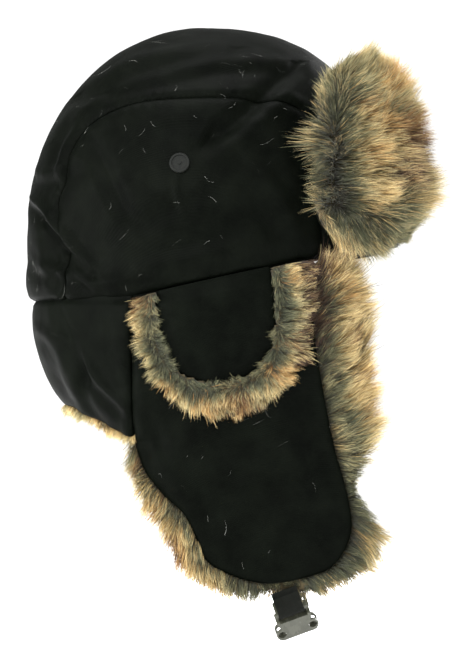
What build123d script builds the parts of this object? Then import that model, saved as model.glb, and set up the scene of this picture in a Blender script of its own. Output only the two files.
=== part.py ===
from build123d import *
import os
from math import cos, radians, sin, sqrt

# Trapper hat with a three-panel crown, a turned-up fur visor, long fur-lined ear flaps, a neck flap,
# two small ear covers that snap up to the crown, and a chin strap with a side-release buckle.
#
# Millimetres. The origin is the middle of the head opening at the level of the brow band.
# +Z is up, -Y is the wearer's front and +X is the wearer's left.

os.makedirs("parts", exist_ok=True)

# ---------------------------------------------------------------- driving dimensions
CROWN_TOP = 156.0
CROWN_WAIST = 25.0  # height where the crown is widest
CROWN_HALF_WIDTH = 98.0
CROWN_BACK = 119.0
CROWN_FRONT = -114.0
CROWN_PEAK_Y = 5.0
CROWN_HEM_TUCK = 3.0  # how far the crown draws in from its waist to its hem

FABRIC = 1.5  # outer twill
CROWN_WADDING = 5.0
FLAP_WADDING = 2.3
LINING = 1.2
PILE = 12.8  # fur lining, backing and pile together
LAYER_GAP = 0.2

# The crown's lower edge, seen from the side, rises straight from the ear to the brow.
HEM_BACK_Z = -23.0
HEM_EAR = (53.0, -21.0)
HEM_BROW = (-114.0, 15.0)
HEM_SLOPE = (HEM_BROW[1] - HEM_EAR[1]) / (HEM_BROW[0] - HEM_EAR[0])
FLAP_DROP = 4.0  # clearance between the crown's hem and a flap's top edge
HINGE_X = 103.0  # fold line of the ear flap and the ear cover, just outside the crown
HINGE_DROP = 2.0

SEAM_Y = 50.0  # seam between neck flap and ear flap
SEAM_GAP = 1.0
JUNCTION_Z = -110.0

BROW_BINDING_DEPTH = 6.0
BINDING_END = -90.0
SWEATBAND_HEIGHT = 30.0
SWEATBAND = 2.0

COVER_LINING = 3.4
COVER_BORDER = 7.8

VISOR_SHELL = 2.0
VISOR_INTERLINING = 3.0
VISOR_PILE = 24.0
VISOR_HALF_WIDTH = 97.0

STUD = (19.5, 65.6)  # snap stud on the crown's side, as (y, z)
STUD_RADIUS = 6.5
STUD_HEIGHT = 1.8
POST_RADIUS = 2.0
WASHER_RADIUS = 5.5
WASHER = 1.0
SNAP_RADIUS = 5.5
SNAP_HEIGHT = 2.4

STRAP_WIDTH = 17.0
WEBBING = 1.2
STRAP_HEM = (-46.5, -206.0)  # where the webbing leaves the flap, as (y, z)
STRAP_LENGTH = 14.0
STRAP_LEAN = 20.0
STRAP_X = 79.6
BUCKLE_TILT = 42.0

BUCKLE_WIDTH = 24.0
BUCKLE_THICKNESS = 7.0
BUCKLE_WALL = 1.4
BAR = 1.2  # half the thickness of the bar that the webbing goes round
SLOT_END = -5.0
MOUTH_END = -19.5
PRONG_ROOT = -10.8
CATCH_REACH = 14.0  # half width across the bulges round the socket's release windows
CATCH_EYE = (10.3, -14.6)
CATCH_EYE_RADIUS = 2.6

SIDES = {"right": -1, "left": 1}  # the wearer's right is -X
REACH = 200.0


# ---------------------------------------------------------------- the crown's form
def swell(height, peak, power):
    """How full the crown is at a height, from 1 at its waist to 0 at its top."""
    t = max(0.0, (height - CROWN_WAIST) / (peak - CROWN_WAIST))
    return (1.0 - t**power) ** (1.0 / power)


def hem_tuck(height):
    """How far the crown draws in below its waist."""
    return CROWN_HEM_TUCK * (max(0.0, CROWN_WAIST - height) / 50.0) ** 2


def crown_section(height, inset):
    """Half width, half length and centre of the crown's level section."""
    top = CROWN_TOP - inset
    back = CROWN_PEAK_Y + (CROWN_BACK - inset - CROWN_PEAK_Y) * swell(height, top, 2.0)
    front = CROWN_PEAK_Y + (CROWN_FRONT + inset - CROWN_PEAK_Y) * swell(height, top, 2.4)
    width = (CROWN_HALF_WIDTH - inset) * swell(height, top, 1.9)
    tuck = hem_tuck(height)
    return width - tuck, (back - front) / 2 - tuck, (back + front) / 2


def form(sections):
    """A solid through level ellipses given as (height, half width, half length, centre y)."""
    with BuildPart() as body:
        for height, half_width, half_length, centre in sections:
            with BuildSketch(Plane.XY.offset(height)):
                with Locations((0, centre)):
                    Ellipse(half_width, half_length)
        loft()
    return body.part


def crown_form(inset):
    """The crown drawn in all round by an inset, from below its hem to its top."""
    heights = [-40.0, -8.0]
    rise = CROWN_TOP - inset - CROWN_WAIST
    for fraction in (0.0, 0.22, 0.44, 0.63, 0.79, 0.9, 0.965, 0.992):
        heights.append(CROWN_WAIST + rise * fraction)
    return form([(height, *crown_section(height, inset)) for height in heights])


def skirt_form(inset):
    """The long skirt of the ear flaps, a little flatter and closer at its foot."""
    with BuildPart() as body:
        with BuildSketch(Plane.XY.offset(20)):
            with Locations((0, 2.5)):
                Ellipse(97.0 - inset, 116.0 - inset)
        with BuildSketch(Plane.XY.offset(-225)):
            Ellipse(83.5 - inset, 172.0 - inset)
        loft(ruled=True)
    return body.part


def neck_form(inset):
    """The neck flap, which curves in under the back of the head."""
    sections = [
        (-10.0, 95.0, 112.0, 1.0),
        (-40.0, 98.0, 119.0, -5.0),
        (-68.0, 102.0, 126.0, -20.0),
        (-95.0, 112.0, 134.0, -44.0),
        (-125.0, 122.0, 150.0, -92.0),
    ]
    return form([(z, a - inset, b - inset, c) for z, a, b, c in sections])


def visor_form(outset):
    """The turned-up visor, which stands a little off the front of the crown."""
    with BuildPart() as body:
        with BuildSketch(Plane.XY.offset(-5)):
            with Locations((0, 2.5)):
                Ellipse(103.0 + outset, 122.0 + outset)
        with BuildSketch(Plane.XY.offset(160)):
            with Locations((0, 2.5)):
                Ellipse(87.0 + outset, 107.5 + outset)
        loft(ruled=True)
    return body.part


def wall(shape, outer, inner):
    """The layer of a form between two insets."""
    with BuildPart() as layer:
        add(shape(outer))
        add(shape(inner), mode=Mode.SUBTRACT)
    return layer.part


def hem_height(y):
    """Height of the crown's lower edge at a place along the hat."""
    if y > HEM_EAR[0]:
        return HEM_EAR[1] + (HEM_BACK_Z - HEM_EAR[1]) * (y - HEM_EAR[0]) / (CROWN_BACK - HEM_EAR[0])
    return HEM_EAR[1] + HEM_SLOPE * (y - HEM_EAR[0])


def below_hem(y, drop):
    """A side-view point under the crown's lower edge."""
    return (y, hem_height(y) - drop)


def side_prism(points, direction=0, closed=False):
    """A side-view outline carried across the hat: one side of it, or both for direction 0."""
    with BuildPart() as prism:
        with BuildSketch(Plane.YZ):
            with BuildLine():
                if closed:
                    Spline(*points, periodic=True)
                else:
                    Polyline(*points, close=True)
            make_face()
        if direction:
            extrude(amount=direction * REACH)
        else:
            extrude(amount=REACH, both=True)
    return prism.part


def curved_prism(start, curve, direction=0):
    """A side-view outline with a straight top edge and one smooth curve round its foot."""
    with BuildPart() as prism:
        with BuildSketch(Plane.YZ):
            with BuildLine():
                Polyline(*start)
                Spline(start[-1], *curve, start[0])
            make_face()
        if direction:
            extrude(amount=direction * REACH)
        else:
            extrude(amount=REACH, both=True)
    return prism.part


def front_prism(points):
    """A front-view outline of the hat's left half, mirrored and carried from front to back."""
    with BuildPart() as prism:
        with BuildSketch(Plane.XZ):
            with BuildLine():
                Polyline((0, points[0][1]), points[0])
                Spline(*points)
                Polyline(points[-1], (0, points[-1][1]), (0, points[0][1]))
            make_face()
            mirror(about=Plane.YZ)
        extrude(amount=REACH, both=True)
    return prism.part


def save(builder, name):
    """Label a finished piece and write it under its node's name."""
    builder.part.label = name
    export_step(builder.part, f"parts/{name}.step")


# ---------------------------------------------------------------- side-view outlines
ABOVE_HEM = [
    (CROWN_FRONT - 30, hem_height(CROWN_FRONT - 30)),
    HEM_EAR,
    (CROWN_BACK + 30, hem_height(CROWN_BACK + 30)),
    (CROWN_BACK + 30, CROWN_TOP + 10),
    (CROWN_FRONT - 30, CROWN_TOP + 10),
]

# The seam of the crown's side panel runs up from the hem, over the ear and down to the brow.
SIDE_PANEL_FOOT = [(94.0, -45.0), (-70.0, -45.0)]
SIDE_PANEL_ARCH = [(-71.0, 60.0), (-60.0, 100.0), (0.0, 108.0), (58.0, 102.0), (88.0, 74.0), (97.0, 30.0)]

EAR_FLAP_TOP = [below_hem(-65.0, FLAP_DROP), below_hem(SEAM_Y - SEAM_GAP, FLAP_DROP)]
EAR_FLAP_TOP.append((SEAM_Y - SEAM_GAP, JUNCTION_Z))
EAR_FLAP_CURVE = [(20.0, -153.0), (4.0, -186.0), (-37.0, -202.0), (-80.0, -190.0), (-91.0, -165.0)]
EAR_FLAP_CURVE += [(-81.0, -114.0), (-69.0, -57.0)]

EAR_FUR_TOP = [below_hem(-88.0, FLAP_DROP), below_hem(SEAM_Y - SEAM_GAP, FLAP_DROP)]
EAR_FUR_TOP.append((SEAM_Y - SEAM_GAP, JUNCTION_Z))
EAR_FUR_CURVE = [(42.0, -155.0), (14.0, -199.0), (-40.0, -211.0), (-86.0, -204.0), (-105.0, -176.0)]
EAR_FUR_CURVE += [(-105.0, -110.0), (-101.0, -50.0)]

NECK_FLAP = [
    (SEAM_Y + SEAM_GAP, hem_height(SEAM_Y) - 1.0),
    (SEAM_Y + SEAM_GAP, JUNCTION_Z),
    (66.0, -104.0),
    (90.0, -94.0),
    (130.0, -86.0),
    (130.0, hem_height(130.0) - 1.0),
    (HEM_EAR[0] + 2.0, HEM_EAR[1] - 1.0),
]
NECK_FUR = [
    (SEAM_Y + SEAM_GAP, hem_height(SEAM_Y) - 1.0),
    (SEAM_Y + SEAM_GAP, JUNCTION_Z - 6.0),
    (66.0, -111.0),
    (90.0, -101.0),
    (130.0, -93.0),
    (130.0, hem_height(130.0) - 1.0),
    (HEM_EAR[0] + 2.0, HEM_EAR[1] - 1.0),
]

COVER_TOP = [below_hem(-40.0, FLAP_DROP), below_hem(36.0, FLAP_DROP)]
COVER_CURVE = [(33.0, -45.0), (20.0, -71.0), (-10.0, -74.5), (-36.0, -63.0), (-42.0, -40.0)]
BORDER_TOP = [below_hem(-64.0, FLAP_DROP), below_hem(50.0, FLAP_DROP)]
BORDER_CURVE = [(47.0, -58.0), (34.0, -83.0), (8.0, -97.0), (-22.0, -99.0), (-50.0, -83.0), (-65.0, -56.0)]

VISOR_PANEL = [(-70.0, 16.0), (-84.0, 13.0), (-135.0, 14.0), (-135.0, 128.0), (-88.0, 128.0), (-74.0, 108.0)]
VISOR_PANEL.append((-68.0, 60.0))
VISOR_FUR = [
    (-64.0, 17.0),
    (-84.0, 12.0),
    (-115.0, 13.0),
    (-141.0, 26.0),
    (-152.0, 42.0),
    (-147.0, 78.0),
    (-138.0, 110.0),
    (-124.0, 135.0),
    (-108.0, 143.0),
    (-90.0, 140.0),
    (-76.0, 128.0),
    (-65.0, 100.0),
    (-61.0, 60.0),
]
VISOR_FRONT = [
    (VISOR_HALF_WIDTH - 11.0, 8.0),
    (VISOR_HALF_WIDTH, 34.0),
    (VISOR_HALF_WIDTH - 2.0, 80.0),
    (VISOR_HALF_WIDTH - 12.0, 120.0),
    (VISOR_HALF_WIDTH - 38.0, 142.0),
    (VISOR_HALF_WIDTH - 60.0, 145.0),
]

# ---------------------------------------------------------------- where the snaps sit


def crown_surface(y, z, side):
    """A point on the crown's outer face and the outward direction there."""

    def half(at_y, at_z):
        width, length, centre = crown_section(at_z, 0.0)
        return width * sqrt(1.0 - ((at_y - centre) / length) ** 2)

    step = 1.0
    slope_y = (half(y + step, z) - half(y - step, z)) / (2 * step)
    slope_z = (half(y, z + step) - half(y, z - step)) / (2 * step)
    return Vector(side * half(y, z), y, z), Vector(side, -slope_y, -slope_z).normalized()


def folded_down(y, z):
    """The side-view place that a turned-up ear cover brings to (y, z) on the crown."""
    length = sqrt(1.0 + HEM_SLOPE**2)
    along = Vector(1.0 / length, HEM_SLOPE / length)
    start = Vector(0.0, hem_height(0.0) - HINGE_DROP)
    reach = Vector(y, z) - start
    mirrored = start + along * (2.0 * reach.dot(along)) - reach
    return mirrored.X, mirrored.Y


def stud_plane(side, lift):
    """Plane of the crown's stud, lifted off the fabric."""
    place, outward = crown_surface(*STUD, side)
    return Plane(origin=place + outward * lift, z_dir=outward)


SNAP = folded_down(*STUD)
SNAP_X = 92.6  # half width of the ear flap's outer face at the snap


def snap_plane(side, lift):
    """Plane of the ear cover's snap, lifted off the ear flap."""
    return Plane(origin=(side * (SNAP_X + lift), *SNAP), z_dir=(side, 0, 0))


# ---------------------------------------------------------------- crown
outer_cloth = wall(crown_form, 0.0, FABRIC)
inner_cloth_inset = FABRIC + CROWN_WADDING + 2 * LAYER_GAP
inner_cloth = wall(crown_form, inner_cloth_inset, inner_cloth_inset + LINING)
crown_region = side_prism(ABOVE_HEM)
panel_regions = {name: curved_prism(SIDE_PANEL_FOOT, SIDE_PANEL_ARCH, side) for name, side in SIDES.items()}

for side_name, side in SIDES.items():
    with BuildPart() as crown_side_panel:
        add(outer_cloth)
        add(crown_region, mode=Mode.INTERSECT)
        add(panel_regions[side_name], mode=Mode.INTERSECT)
        with BuildSketch(stud_plane(side, 5.0)):
            Circle(POST_RADIUS + 0.1)
        extrude(amount=-10.0, mode=Mode.SUBTRACT)
    save(crown_side_panel, f"crown_side_panel_{side_name}")

    with BuildPart() as crown_lining_side:
        add(inner_cloth)
        add(crown_region, mode=Mode.INTERSECT)
        add(panel_regions[side_name], mode=Mode.INTERSECT)
    save(crown_lining_side, f"crown_lining_side_{side_name}")

    # A ring-faced stud whose post passes through the twill to a washer behind it.
    with BuildPart() as crown_stud:
        with BuildSketch(stud_plane(side, 0.1)):
            Circle(STUD_RADIUS)
        extrude(amount=STUD_HEIGHT)
        fillet(crown_stud.faces().sort_by_distance(stud_plane(side, 20.0).origin)[0].edges(), 0.5)
        with BuildSketch(stud_plane(side, 0.1 + STUD_HEIGHT)):
            Circle(STUD_RADIUS - 1.4)
            Circle(1.1, mode=Mode.SUBTRACT)
        extrude(amount=-0.6, mode=Mode.SUBTRACT)
        with BuildSketch(stud_plane(side, 0.1)):
            Circle(POST_RADIUS)
        extrude(amount=-(FABRIC + 0.6))
    save(crown_stud, f"crown_stud_{side_name}")

    with BuildPart() as crown_stud_washer:
        with BuildSketch(stud_plane(side, -(FABRIC + 0.7))):
            Circle(WASHER_RADIUS)
        extrude(amount=-WASHER)
    save(crown_stud_washer, f"crown_stud_washer_{side_name}")

for name, cloth in (("crown_centre_panel", outer_cloth), ("crown_lining_centre", inner_cloth)):
    with BuildPart() as centre_panel:
        add(cloth)
        add(crown_region, mode=Mode.INTERSECT)
        for region in panel_regions.values():
            add(region, mode=Mode.SUBTRACT)
    save(centre_panel, name)

with BuildPart() as crown_wadding:
    add(wall(crown_form, FABRIC + LAYER_GAP, FABRIC + LAYER_GAP + CROWN_WADDING))
    add(crown_region, mode=Mode.INTERSECT)
    for side in SIDES.values():
        with BuildSketch(stud_plane(side, 2.0)):
            Circle(WASHER_RADIUS + 0.5)
        extrude(amount=-(FABRIC + WASHER + 3.5), mode=Mode.SUBTRACT)
save(crown_wadding, "crown_wadding")

band_inset = inner_cloth_inset + LINING + LAYER_GAP
with BuildPart() as sweatband:
    add(wall(crown_form, band_inset, band_inset + SWEATBAND))
    add(
        side_prism(
            [
                below_hem(CROWN_FRONT, 0.0),
                HEM_EAR,
                below_hem(CROWN_BACK, 0.0),
                below_hem(CROWN_BACK, -SWEATBAND_HEIGHT),
                (HEM_EAR[0], HEM_EAR[1] + SWEATBAND_HEIGHT),
                below_hem(CROWN_FRONT, -SWEATBAND_HEIGHT),
            ]
        ),
        mode=Mode.INTERSECT,
    )
save(sweatband, "sweatband")

# Folded tape that closes the raw layers along the front of the hem.
with BuildPart() as brow_binding:
    add(wall(crown_form, 0.6, inner_cloth_inset + LINING))
    add(
        side_prism(
            [
                below_hem(CROWN_FRONT - 10.0, 0.3),
                below_hem(BINDING_END, 0.3),
                below_hem(BINDING_END, BROW_BINDING_DEPTH - 1.5),
                below_hem(CROWN_FRONT - 10.0, BROW_BINDING_DEPTH),
            ]
        ),
        mode=Mode.INTERSECT,
    )
save(brow_binding, "brow_binding")

# ---------------------------------------------------------------- neck flap
fur_inset = FABRIC + FLAP_WADDING + 2 * LAYER_GAP
neck_layers = {
    "neck_flap_shell": (0.0, FABRIC, NECK_FLAP),
    "neck_flap_wadding": (FABRIC + LAYER_GAP, fur_inset - LAYER_GAP, NECK_FLAP),
    "neck_flap_fur": (fur_inset, fur_inset + PILE, NECK_FUR),
}
for name, (outer, inner, outline) in neck_layers.items():
    with BuildPart() as neck_layer:
        add(wall(neck_form, outer, inner))
        add(side_prism(outline), mode=Mode.INTERSECT)
    save(neck_layer, name)

# ---------------------------------------------------------------- ear flaps
for side_name, side in SIDES.items():
    panel_outline = curved_prism(EAR_FLAP_TOP, EAR_FLAP_CURVE, side)
    fur_outline = curved_prism(EAR_FUR_TOP, EAR_FUR_CURVE, side)
    ear_layers = {
        "ear_flap_shell": (0.0, FABRIC, panel_outline),
        "ear_flap_wadding": (FABRIC + LAYER_GAP, fur_inset - LAYER_GAP, panel_outline),
        "ear_flap_fur": (fur_inset, fur_inset + PILE, fur_outline),
    }
    for name, (outer, inner, outline) in ear_layers.items():
        with BuildPart() as ear_layer:
            add(wall(skirt_form, outer, inner))
            add(outline, mode=Mode.INTERSECT)
        save(ear_layer, f"{name}_{side_name}")

# ---------------------------------------------------------------- ear covers
cover_back = -0.6
cover_face = cover_back - COVER_LINING
for side_name, side in SIDES.items():
    border_outline = curved_prism(BORDER_TOP, BORDER_CURVE, side)
    panel_outline = curved_prism(COVER_TOP, COVER_CURVE, side)

    # Fur lining turned out round the panel as a thick border, with a well for the snap.
    with BuildPart() as ear_cover_fur:
        add(wall(skirt_form, cover_face - COVER_BORDER, cover_face))
        add(panel_outline, mode=Mode.SUBTRACT)
        add(wall(skirt_form, cover_face - LAYER_GAP, cover_back))
        add(border_outline, mode=Mode.INTERSECT)
        with BuildSketch(snap_plane(side, -cover_face - 1.0)):
            Circle(SNAP_RADIUS + 0.6)
        extrude(amount=20.0, mode=Mode.SUBTRACT)
    save(ear_cover_fur, f"ear_cover_fur_{side_name}")

    with BuildPart() as ear_cover_shell:
        add(wall(skirt_form, cover_face - 2 * LAYER_GAP - FABRIC, cover_face - 2 * LAYER_GAP))
        add(panel_outline, mode=Mode.INTERSECT)
    save(ear_cover_shell, f"ear_cover_shell_{side_name}")

    with BuildPart() as ear_cover_snap:
        with BuildSketch(snap_plane(side, -cover_face - 0.8)):
            Circle(SNAP_RADIUS)
        extrude(amount=SNAP_HEIGHT)
        with BuildSketch(snap_plane(side, -cover_face - 0.8 + SNAP_HEIGHT)):
            Circle(2.6)
        extrude(amount=-1.4, mode=Mode.SUBTRACT)
    save(ear_cover_snap, f"ear_cover_snap_{side_name}")

# ---------------------------------------------------------------- visor
visor_layers = {
    "visor_shell": (VISOR_SHELL, 0.0, VISOR_PANEL),
    "visor_interlining": (VISOR_SHELL + LAYER_GAP + VISOR_INTERLINING, VISOR_SHELL + LAYER_GAP, VISOR_PANEL),
}
pile_foot = VISOR_SHELL + 2 * LAYER_GAP + VISOR_INTERLINING
visor_width = front_prism(VISOR_FRONT)
visor_layers["visor_fur"] = (pile_foot + VISOR_PILE, pile_foot, VISOR_FUR)
for name, (outer, inner, outline) in visor_layers.items():
    with BuildPart() as visor_layer:
        add(wall(visor_form, outer, inner))
        add(side_prism(outline), mode=Mode.INTERSECT)
        add(visor_width, mode=Mode.INTERSECT)
    save(visor_layer, name)


# ---------------------------------------------------------------- chin strap and buckle
def hanging_plane(side, tilt):
    """Plane at the buckle's bar: x across the strap, y up it, z away from the head."""
    lean = radians(STRAP_LEAN)
    turn = radians(tilt)
    bar = (
        side * STRAP_X,
        STRAP_HEM[0] - STRAP_LENGTH * sin(lean),
        STRAP_HEM[1] - STRAP_LENGTH * cos(lean),
    )
    across = Vector(0, side * cos(lean), -side * sin(lean))
    up = Vector(side * sin(turn), cos(turn) * sin(lean), cos(turn) * cos(lean))
    return Plane(origin=bar, x_dir=across, z_dir=across.cross(up))


LOOP_RADIUS = 2.0 + WEBBING / 2

for side_name, side in SIDES.items():
    strap = hanging_plane(side, 0.0)
    edge_on = Plane(origin=strap.origin, x_dir=strap.y_dir, z_dir=strap.x_dir)

    # Webbing from the flap's hem, round the buckle's bar and back up, sewn to itself.
    with BuildPart() as chin_strap:
        with BuildSketch(edge_on):
            with BuildLine():
                Polyline((STRAP_LENGTH, 0.0), (6.0, -LOOP_RADIUS), (0.0, -LOOP_RADIUS))
                ThreePointArc((0.0, -LOOP_RADIUS), (-LOOP_RADIUS, 0.0), (0.0, LOOP_RADIUS))
                Polyline((0.0, LOOP_RADIUS), (4.0, LOOP_RADIUS), (10.4, 0.75))
            trace(line_width=WEBBING)
        extrude(amount=STRAP_WIDTH / 2, both=True)
    save(chin_strap, f"chin_strap_{side_name}")

# Elastic keeper round both plies of the adjustable left strap.
left_strap = hanging_plane(SIDES["left"], 0.0)
keeper_place = left_strap.origin + left_strap.y_dir * 2.4
keeper_plane = Plane(origin=keeper_place, x_dir=left_strap.x_dir, z_dir=left_strap.y_dir)
with BuildPart() as strap_keeper:
    with BuildSketch(keeper_plane):
        RectangleRounded(STRAP_WIDTH + 3.0, 8.4, 1.4)
        RectangleRounded(STRAP_WIDTH + 0.6, 6.8, 0.6, mode=Mode.SUBTRACT)
    extrude(amount=3.0)
save(strap_keeper, "strap_keeper_left")

socket_plane = hanging_plane(SIDES["right"], BUCKLE_TILT)
with BuildPart() as buckle_socket:
    with BuildSketch(socket_plane) as socket_outline:
        with BuildLine():
            Polyline((-10.6, BAR), (10.6, BAR), (11.4, 0.4), (11.4, -5.0), (9.8, -10.0))
            Spline((9.8, -10.0), (CATCH_REACH, -14.0), (CATCH_REACH - 1.2, -18.0), (8.0, MOUTH_END))
            Line((8.0, MOUTH_END), (-8.0, MOUTH_END))
            Spline((-8.0, MOUTH_END), (1.2 - CATCH_REACH, -18.0), (-CATCH_REACH, -14.0), (-9.8, -10.0))
            Polyline((-9.8, -10.0), (-11.4, -5.0), (-11.4, 0.4), (-10.6, BAR))
        make_face()
    extrude(amount=BUCKLE_THICKNESS / 2, both=True)
    # The bar end is thinner than the socket.
    for direction in (1, -1):
        with BuildSketch(socket_plane.offset(direction * BAR)):
            with Locations((0, 1.0)):
                Rectangle(30.0, 9.0)
        extrude(amount=direction * 6.0, mode=Mode.SUBTRACT)
    # Slot that the webbing passes through.
    with BuildSketch(socket_plane):
        with Locations((0, (SLOT_END - BAR) / 2)):
            Rectangle(STRAP_WIDTH + 1.6, -SLOT_END - BAR)
    extrude(amount=10.0, both=True, mode=Mode.SUBTRACT)
    # Cavity for the plug, open at the mouth and through a window in each side.
    with BuildSketch(socket_plane):
        with Locations((0, (MOUTH_END - 7.0) / 2)):
            Rectangle(BUCKLE_WIDTH - 8.0, -MOUTH_END - 7.0)
        with Locations((0, -11.5)):
            Rectangle(BUCKLE_WIDTH + 4.0, 4.6)
    extrude(amount=BUCKLE_THICKNESS / 2 - BUCKLE_WALL, both=True, mode=Mode.SUBTRACT)
    # Round eye through each bulge, where a finger finds the prong.
    with BuildSketch(socket_plane):
        for direction in (1, -1):
            with Locations((direction * CATCH_EYE[0], CATCH_EYE[1])):
                Circle(CATCH_EYE_RADIUS)
    extrude(amount=BUCKLE_THICKNESS, both=True, mode=Mode.SUBTRACT)
save(buckle_socket, "buckle_socket")

plug_plane = hanging_plane(SIDES["left"], BUCKLE_TILT)
with BuildPart() as buckle_plug:
    with BuildSketch(plug_plane):
        with Locations((0, BAR - 5.7)):
            RectangleRounded(BUCKLE_WIDTH - 1.0, 11.4, 1.1)
        with Locations((0, (SLOT_END - BAR) / 2)):
            Rectangle(STRAP_WIDTH + 1.6, -SLOT_END - BAR, mode=Mode.SUBTRACT)
        # Centre guide that runs down the socket's cavity.
        with Locations((0, -14.5)):
            Rectangle(2.4, 9.0)
    extrude(amount=1.2, both=True)
save(buckle_plug, "buckle_plug")

for prong_name, prong_side in (("front", -1), ("rear", 1)):
    with BuildPart() as buckle_prong:
        with BuildSketch(plug_plane):
            with BuildLine():
                Polyline(
                    (prong_side * 4.6, PRONG_ROOT),
                    (prong_side * 7.4, PRONG_ROOT),
                    (prong_side * 7.8, -14.0),
                    (prong_side * 10.6, -15.4),
                    (prong_side * 10.2, -19.4),
                    (prong_side * 6.8, -22.6),
                    (prong_side * 5.0, -22.0),
                    close=True,
                )
            make_face()
        extrude(amount=1.7, both=True)
    save(buckle_prong, f"buckle_prong_{prong_name}")
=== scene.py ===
import math

import bpy
import numpy as np
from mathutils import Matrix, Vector
from mathutils.geometry import delaunay_2d_cdt
from mathutils.kdtree import KDTree


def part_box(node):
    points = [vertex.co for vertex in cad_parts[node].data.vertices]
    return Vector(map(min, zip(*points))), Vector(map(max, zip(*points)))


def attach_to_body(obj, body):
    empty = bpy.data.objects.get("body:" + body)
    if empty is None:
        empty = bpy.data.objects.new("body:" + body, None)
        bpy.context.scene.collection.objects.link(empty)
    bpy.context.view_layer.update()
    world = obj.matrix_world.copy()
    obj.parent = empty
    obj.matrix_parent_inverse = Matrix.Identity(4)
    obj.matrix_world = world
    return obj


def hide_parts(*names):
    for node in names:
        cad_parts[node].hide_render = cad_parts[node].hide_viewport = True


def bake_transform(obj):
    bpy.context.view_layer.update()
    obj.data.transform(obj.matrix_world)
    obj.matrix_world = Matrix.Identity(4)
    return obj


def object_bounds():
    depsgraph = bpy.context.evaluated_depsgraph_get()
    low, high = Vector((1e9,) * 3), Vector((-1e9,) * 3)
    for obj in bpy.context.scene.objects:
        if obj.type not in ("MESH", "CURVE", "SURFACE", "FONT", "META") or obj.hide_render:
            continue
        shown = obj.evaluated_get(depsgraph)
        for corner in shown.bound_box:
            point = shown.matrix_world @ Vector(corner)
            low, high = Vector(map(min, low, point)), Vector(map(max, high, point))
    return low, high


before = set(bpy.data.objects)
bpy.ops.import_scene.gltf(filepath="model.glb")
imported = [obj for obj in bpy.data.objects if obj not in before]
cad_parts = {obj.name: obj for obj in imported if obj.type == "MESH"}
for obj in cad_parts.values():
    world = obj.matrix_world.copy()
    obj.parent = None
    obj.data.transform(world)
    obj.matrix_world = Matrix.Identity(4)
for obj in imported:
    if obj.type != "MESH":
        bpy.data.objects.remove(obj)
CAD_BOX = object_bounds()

# Trapper hat: black twill crown and flaps, long-pile fur visor, borders and lining, chin strap with a buckle.
# Shapes are worked out in millimetres and turned into metres when a mesh is made.
MM = 0.001
SIDES = {"right": -1, "left": 1}  # the wearer's right is -X


# ---------------------------------------------------------------- sizes
def box_mm(node):
    """Lowest and highest corner of a CAD node in millimetres."""
    low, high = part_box(node)
    return np.array(low) / MM, np.array(high) / MM


side_low, _ = box_mm("crown_side_panel_right")
centre_low, centre_high = box_mm("crown_centre_panel")
WAIST = 25.0
HALF_WIDTH = -side_low[0]
FRONT = centre_low[1]
BACK = centre_high[1]
TOP = WAIST + (centre_high[2] - WAIST) / 0.992
PEAK_Y = 5.0
HEM_TUCK = 3.0
HEM_BACK_Z = -23.0
HEM_EAR = (53.0, -21.0)
HEM_SLOPE = -0.21557
SEAM_Y = 50.0
JUNCTION_Z = -110.0
FLOOR_Z = CAD_BOX[0][2] / MM - 0.8
CROWN_MIDDLE = np.array([0.0, PEAK_Y, WAIST])
NECK_MIDDLE = np.array([0.0, -20.0, -60.0])  # the neck flap and its pile face away from here
CLOTH = 1.5  # thickness of the crown's twill
PILE_OUTSET = -4.6  # the flaps' pile backing lies this far inside their cloth
LINING_INSET = 7.6
BAND_INSET = 10.2
BAND_HEIGHT = 29.0


# ---------------------------------------------------------------- small maths
def smooth(t):
    t = np.clip(t, 0.0, 1.0)
    return t * t * (3.0 - 2.0 * t)


def unit(v):
    return v / np.maximum(np.linalg.norm(v, axis=-1, keepdims=True), 1e-12)


def lattice(i, j, k, seed):
    h = (i * 374761393 + j * 668265263 + k * 1440662683 + seed * 974634777) & 0xFFFFFFFF
    h = ((h ^ (h >> 13)) * 1274126177) & 0xFFFFFFFF
    return ((h ^ (h >> 16)) & 0xFFFF) / 32767.5 - 1.0


def noise(p, size, seed=0):
    """Smooth value noise from -1 to 1 with features of a size."""
    q = np.asarray(p, float) / size + 1000.0
    base = np.floor(q).astype(np.int64)
    f = q - base
    f = f * f * (3.0 - 2.0 * f)
    total = 0.0
    for dx in (0, 1):
        for dy in (0, 1):
            for dz in (0, 1):
                weight = (f[..., 0] if dx else 1 - f[..., 0]) * (f[..., 1] if dy else 1 - f[..., 1])
                weight = weight * (f[..., 2] if dz else 1 - f[..., 2])
                corner = lattice(base[..., 0] + dx, base[..., 1] + dy, base[..., 2] + dz, seed)
                total = total + weight * corner
    return total


def catmull(points, per=16):
    """A smooth open line through points."""
    p = np.array(points, float)
    n = len(p)
    out = []
    for i in range(n - 1):
        a, b, c, d = p[max(i - 1, 0)], p[i], p[i + 1], p[min(i + 2, n - 1)]
        t = np.linspace(0, 1, per, endpoint=False)[:, None]
        square = (2 * a - 5 * b + 4 * c - d) * t**2
        cube = (3 * b - a - 3 * c + d) * t**3
        out.append(0.5 * ((2 * b) + (c - a) * t + square + cube))
    out.append(p[-1:])
    return np.concatenate(out)


def resample(line, pitch, closed=False):
    """The same line with points at an even pitch."""
    pts = np.vstack([line, line[:1]]) if closed else line
    step = np.linalg.norm(np.diff(pts, axis=0), axis=1)
    s = np.concatenate([[0.0], np.cumsum(step)])
    count = max(3, int(round(s[-1] / pitch)))
    t = np.linspace(0, s[-1], count, endpoint=not closed)
    return np.stack([np.interp(t, s, pts[:, k]) for k in range(pts.shape[1])], 1)


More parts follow.
